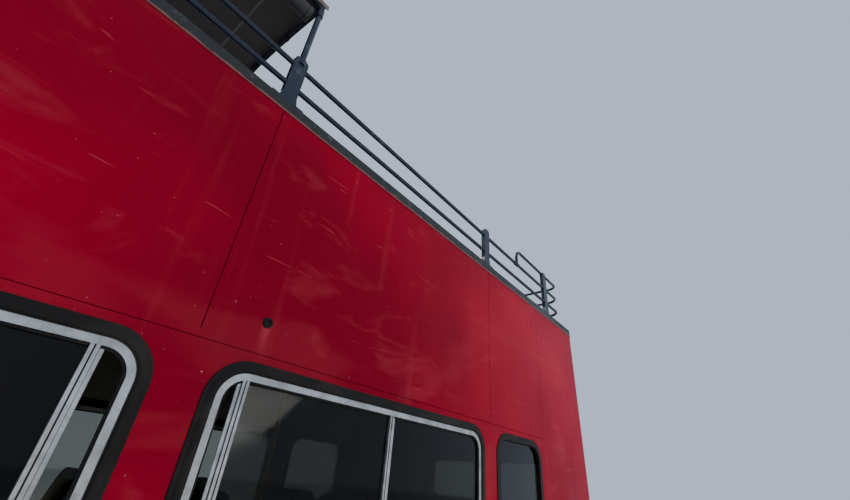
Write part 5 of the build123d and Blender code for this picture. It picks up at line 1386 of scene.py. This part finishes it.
plate_lamp_ys, plate_lamp_radii = (-0.055, -0.050, 0.050, 0.055), [0.004, 0.010, 0.010, 0.004]
plate_lamp = Shell()
plate_lamp.tube([(tail_x - 0.012, y, plate_lamp_z) for y in plate_lamp_ys], plate_lamp_radii, 14)
low = (tail_x - 0.010, -0.060, plate_lamp_z - 0.0065)
high = (tail_x, 0.060, plate_lamp_z + 0.0025)
plate_lamp.block(low, high, 0.002)
plate_lamp.piece("plate_lamp", black_trim, "black_trim", crease=40)

# Lid locks. Two square-key locks of plated steel near the engine lid's foot, each in a bright
# round cup that is pressed into the lid.
lock_ys, lock_z, lid_face_x = (-0.700, 0.700), 0.570, -5.288
lock_cup = [(0.024, 0.0), (0.024, 0.003), (0.019, 0.0045), (0.016, 0.0015)]
lock_square = [(0.0070, 0.0015), (0.0055, 0.0065), (0.0015, 0.0068)]
locks = Shell()
for y in lock_ys:
    place = (lid_face_x, y, lock_z)
    locks.turned([*lock_cup, *lock_square], place, axis="X", sides=32, side=-1, capped=True)
locks.piece("lid_locks", bezel_metal, "black_trim", "engine_cover", crease=30)

# Destination blind. Pale linen, left blank, stretched behind its pane between two black
# rollers with thin spindle ends.
blind_linen, blind_edge, linen_weave = (0.42, 0.41, 0.36), (0.30, 0.29, 0.25), 500.0
blind_half, blind_x = 0.600, 5.085
blind_zs = (2.580, 2.840)
blind_steps, blind_ripple = 12, 0.0015
roller_radius, spindle_radius, spindle_end = 0.018, 0.012, 0.640
linen = cloth_fabric("blind_linen", blind_linen, blind_edge, linen_weave)
rows = []
for i in range(blind_steps + 1):
    y = -blind_half + 2 * blind_half * i / blind_steps
    row = []
    for k in range(blind_steps + 1):
        z = blind_zs[0] + (blind_zs[1] - blind_zs[0]) * k / blind_steps
        row.append((blind_x + blind_ripple * sin(y * 9 + z * 20), y, z))
    rows.append(row)
blind = Shell()
blind.rings(rows, closed=False)
blind_cloth = blind.piece("blind_cloth", linen, "seat_fabric", crease=60)
half_roller = [(spindle_radius, spindle_end), (spindle_radius, blind_half + 0.006)]
half_roller.append((roller_radius, blind_half))
roller_line = [(radius, -along) for radius, along in half_roller] + half_roller[::-1]
rollers = Shell()
for z in blind_zs:
    rollers.turned(roller_line, (blind_x - roller_radius - 0.0025, 0, z), sides=24, capped=True)
blind_rollers = rollers.piece("blind_rollers", black_trim, "black_trim", crease=40)

# Mirror glass. Flat silvered panes, spotted with age, set in the rear faces of the mirror
# heads in a rubber channel.
head_y, head_half, head_zs, head_face_x = 1.400, 0.095, (1.640, 1.995), 5.030
glass_corner, glass_silver = 0.040, (0.82, 0.84, 0.85)
silvered, tree, shader = new_finish("mirror_glass", glass_silver, 0.03, 1.0)
tree.links.new(patches(tree, (12.0, 5.0), 0.35, 0.75, 0.02, 0.10), shader.inputs["Roughness"])
panes, channels = Shell(), Shell()
mirror_rows = (
    # shell, section as (inset, height), whether it is a ring
    (panes, ((0.012, 0.0002), (0.012, 0.0012), (0.014, 0.0016)), False),
    (channels, ((0.006, 0.0), (0.007, 0.0022), (0.011, 0.0028), (0.014, 0.0018), (0.014, 0.0)), True),
)
for side in (1, -1):
    box = (side * head_y - head_half, side * head_y + head_half, *head_zs)
    for shell, section, looped in mirror_rows:
        rings = rounded_rings(box, glass_corner, section, lambda y, z, off: (head_face_x - off, y, z), 8)
        shell.rings(rings, looped=looped, capped=not looped)
panes.piece("mirror_panes", silvered, "glazing", crease=30)
channels.piece("mirror_channels", window_rubber, "window_rubber", crease=40)

# Filler flap. A red-painted steel flap over the fuel filler on the right side, on a piano
# hinge, with a round key lock.
flap_box, flap_corner = (-0.240, 0.020, 0.690, 0.900), 0.020
flap_section = ((0.0, 0.0), (0.0, 0.0016), (0.0015, 0.0024))
knuckle_count, knuckle_pitch, knuckle_length, knuckle_radius = 5, 0.041, 0.036, 0.0040
flap = Shell()
rings = rounded_rings(
    flap_box, flap_corner, flap_section, lambda x, z, off: (x, -body_half - off, z), 5, 0.0
)
flap.rings(rings, capped=True)
for k in range(knuckle_count):
    x0 = flap_box[0] + 0.030 + k * knuckle_pitch
    knuckle = [(x, -body_half - 0.0030, flap_box[3] + 0.002) for x in (x0, x0 + knuckle_length)]
    flap.tube(knuckle, knuckle_radius, 10)
flap.piece("filler_flap", red_paint, "red_paint", crease=30)
key_cup = [(0.013, 0.002), (0.013, 0.0042), (0.010, 0.0052), (0.0030, 0.0048)]
key_place = ((flap_box[0] + flap_box[1]) / 2, -body_half, flap_box[2] + 0.035)
flap_lock = Shell()
flap_lock.turned(key_cup, key_place, sides=24, side=-1, capped=True)
flap_lock.piece("filler_lock", bezel_metal, "black_trim", crease=30)
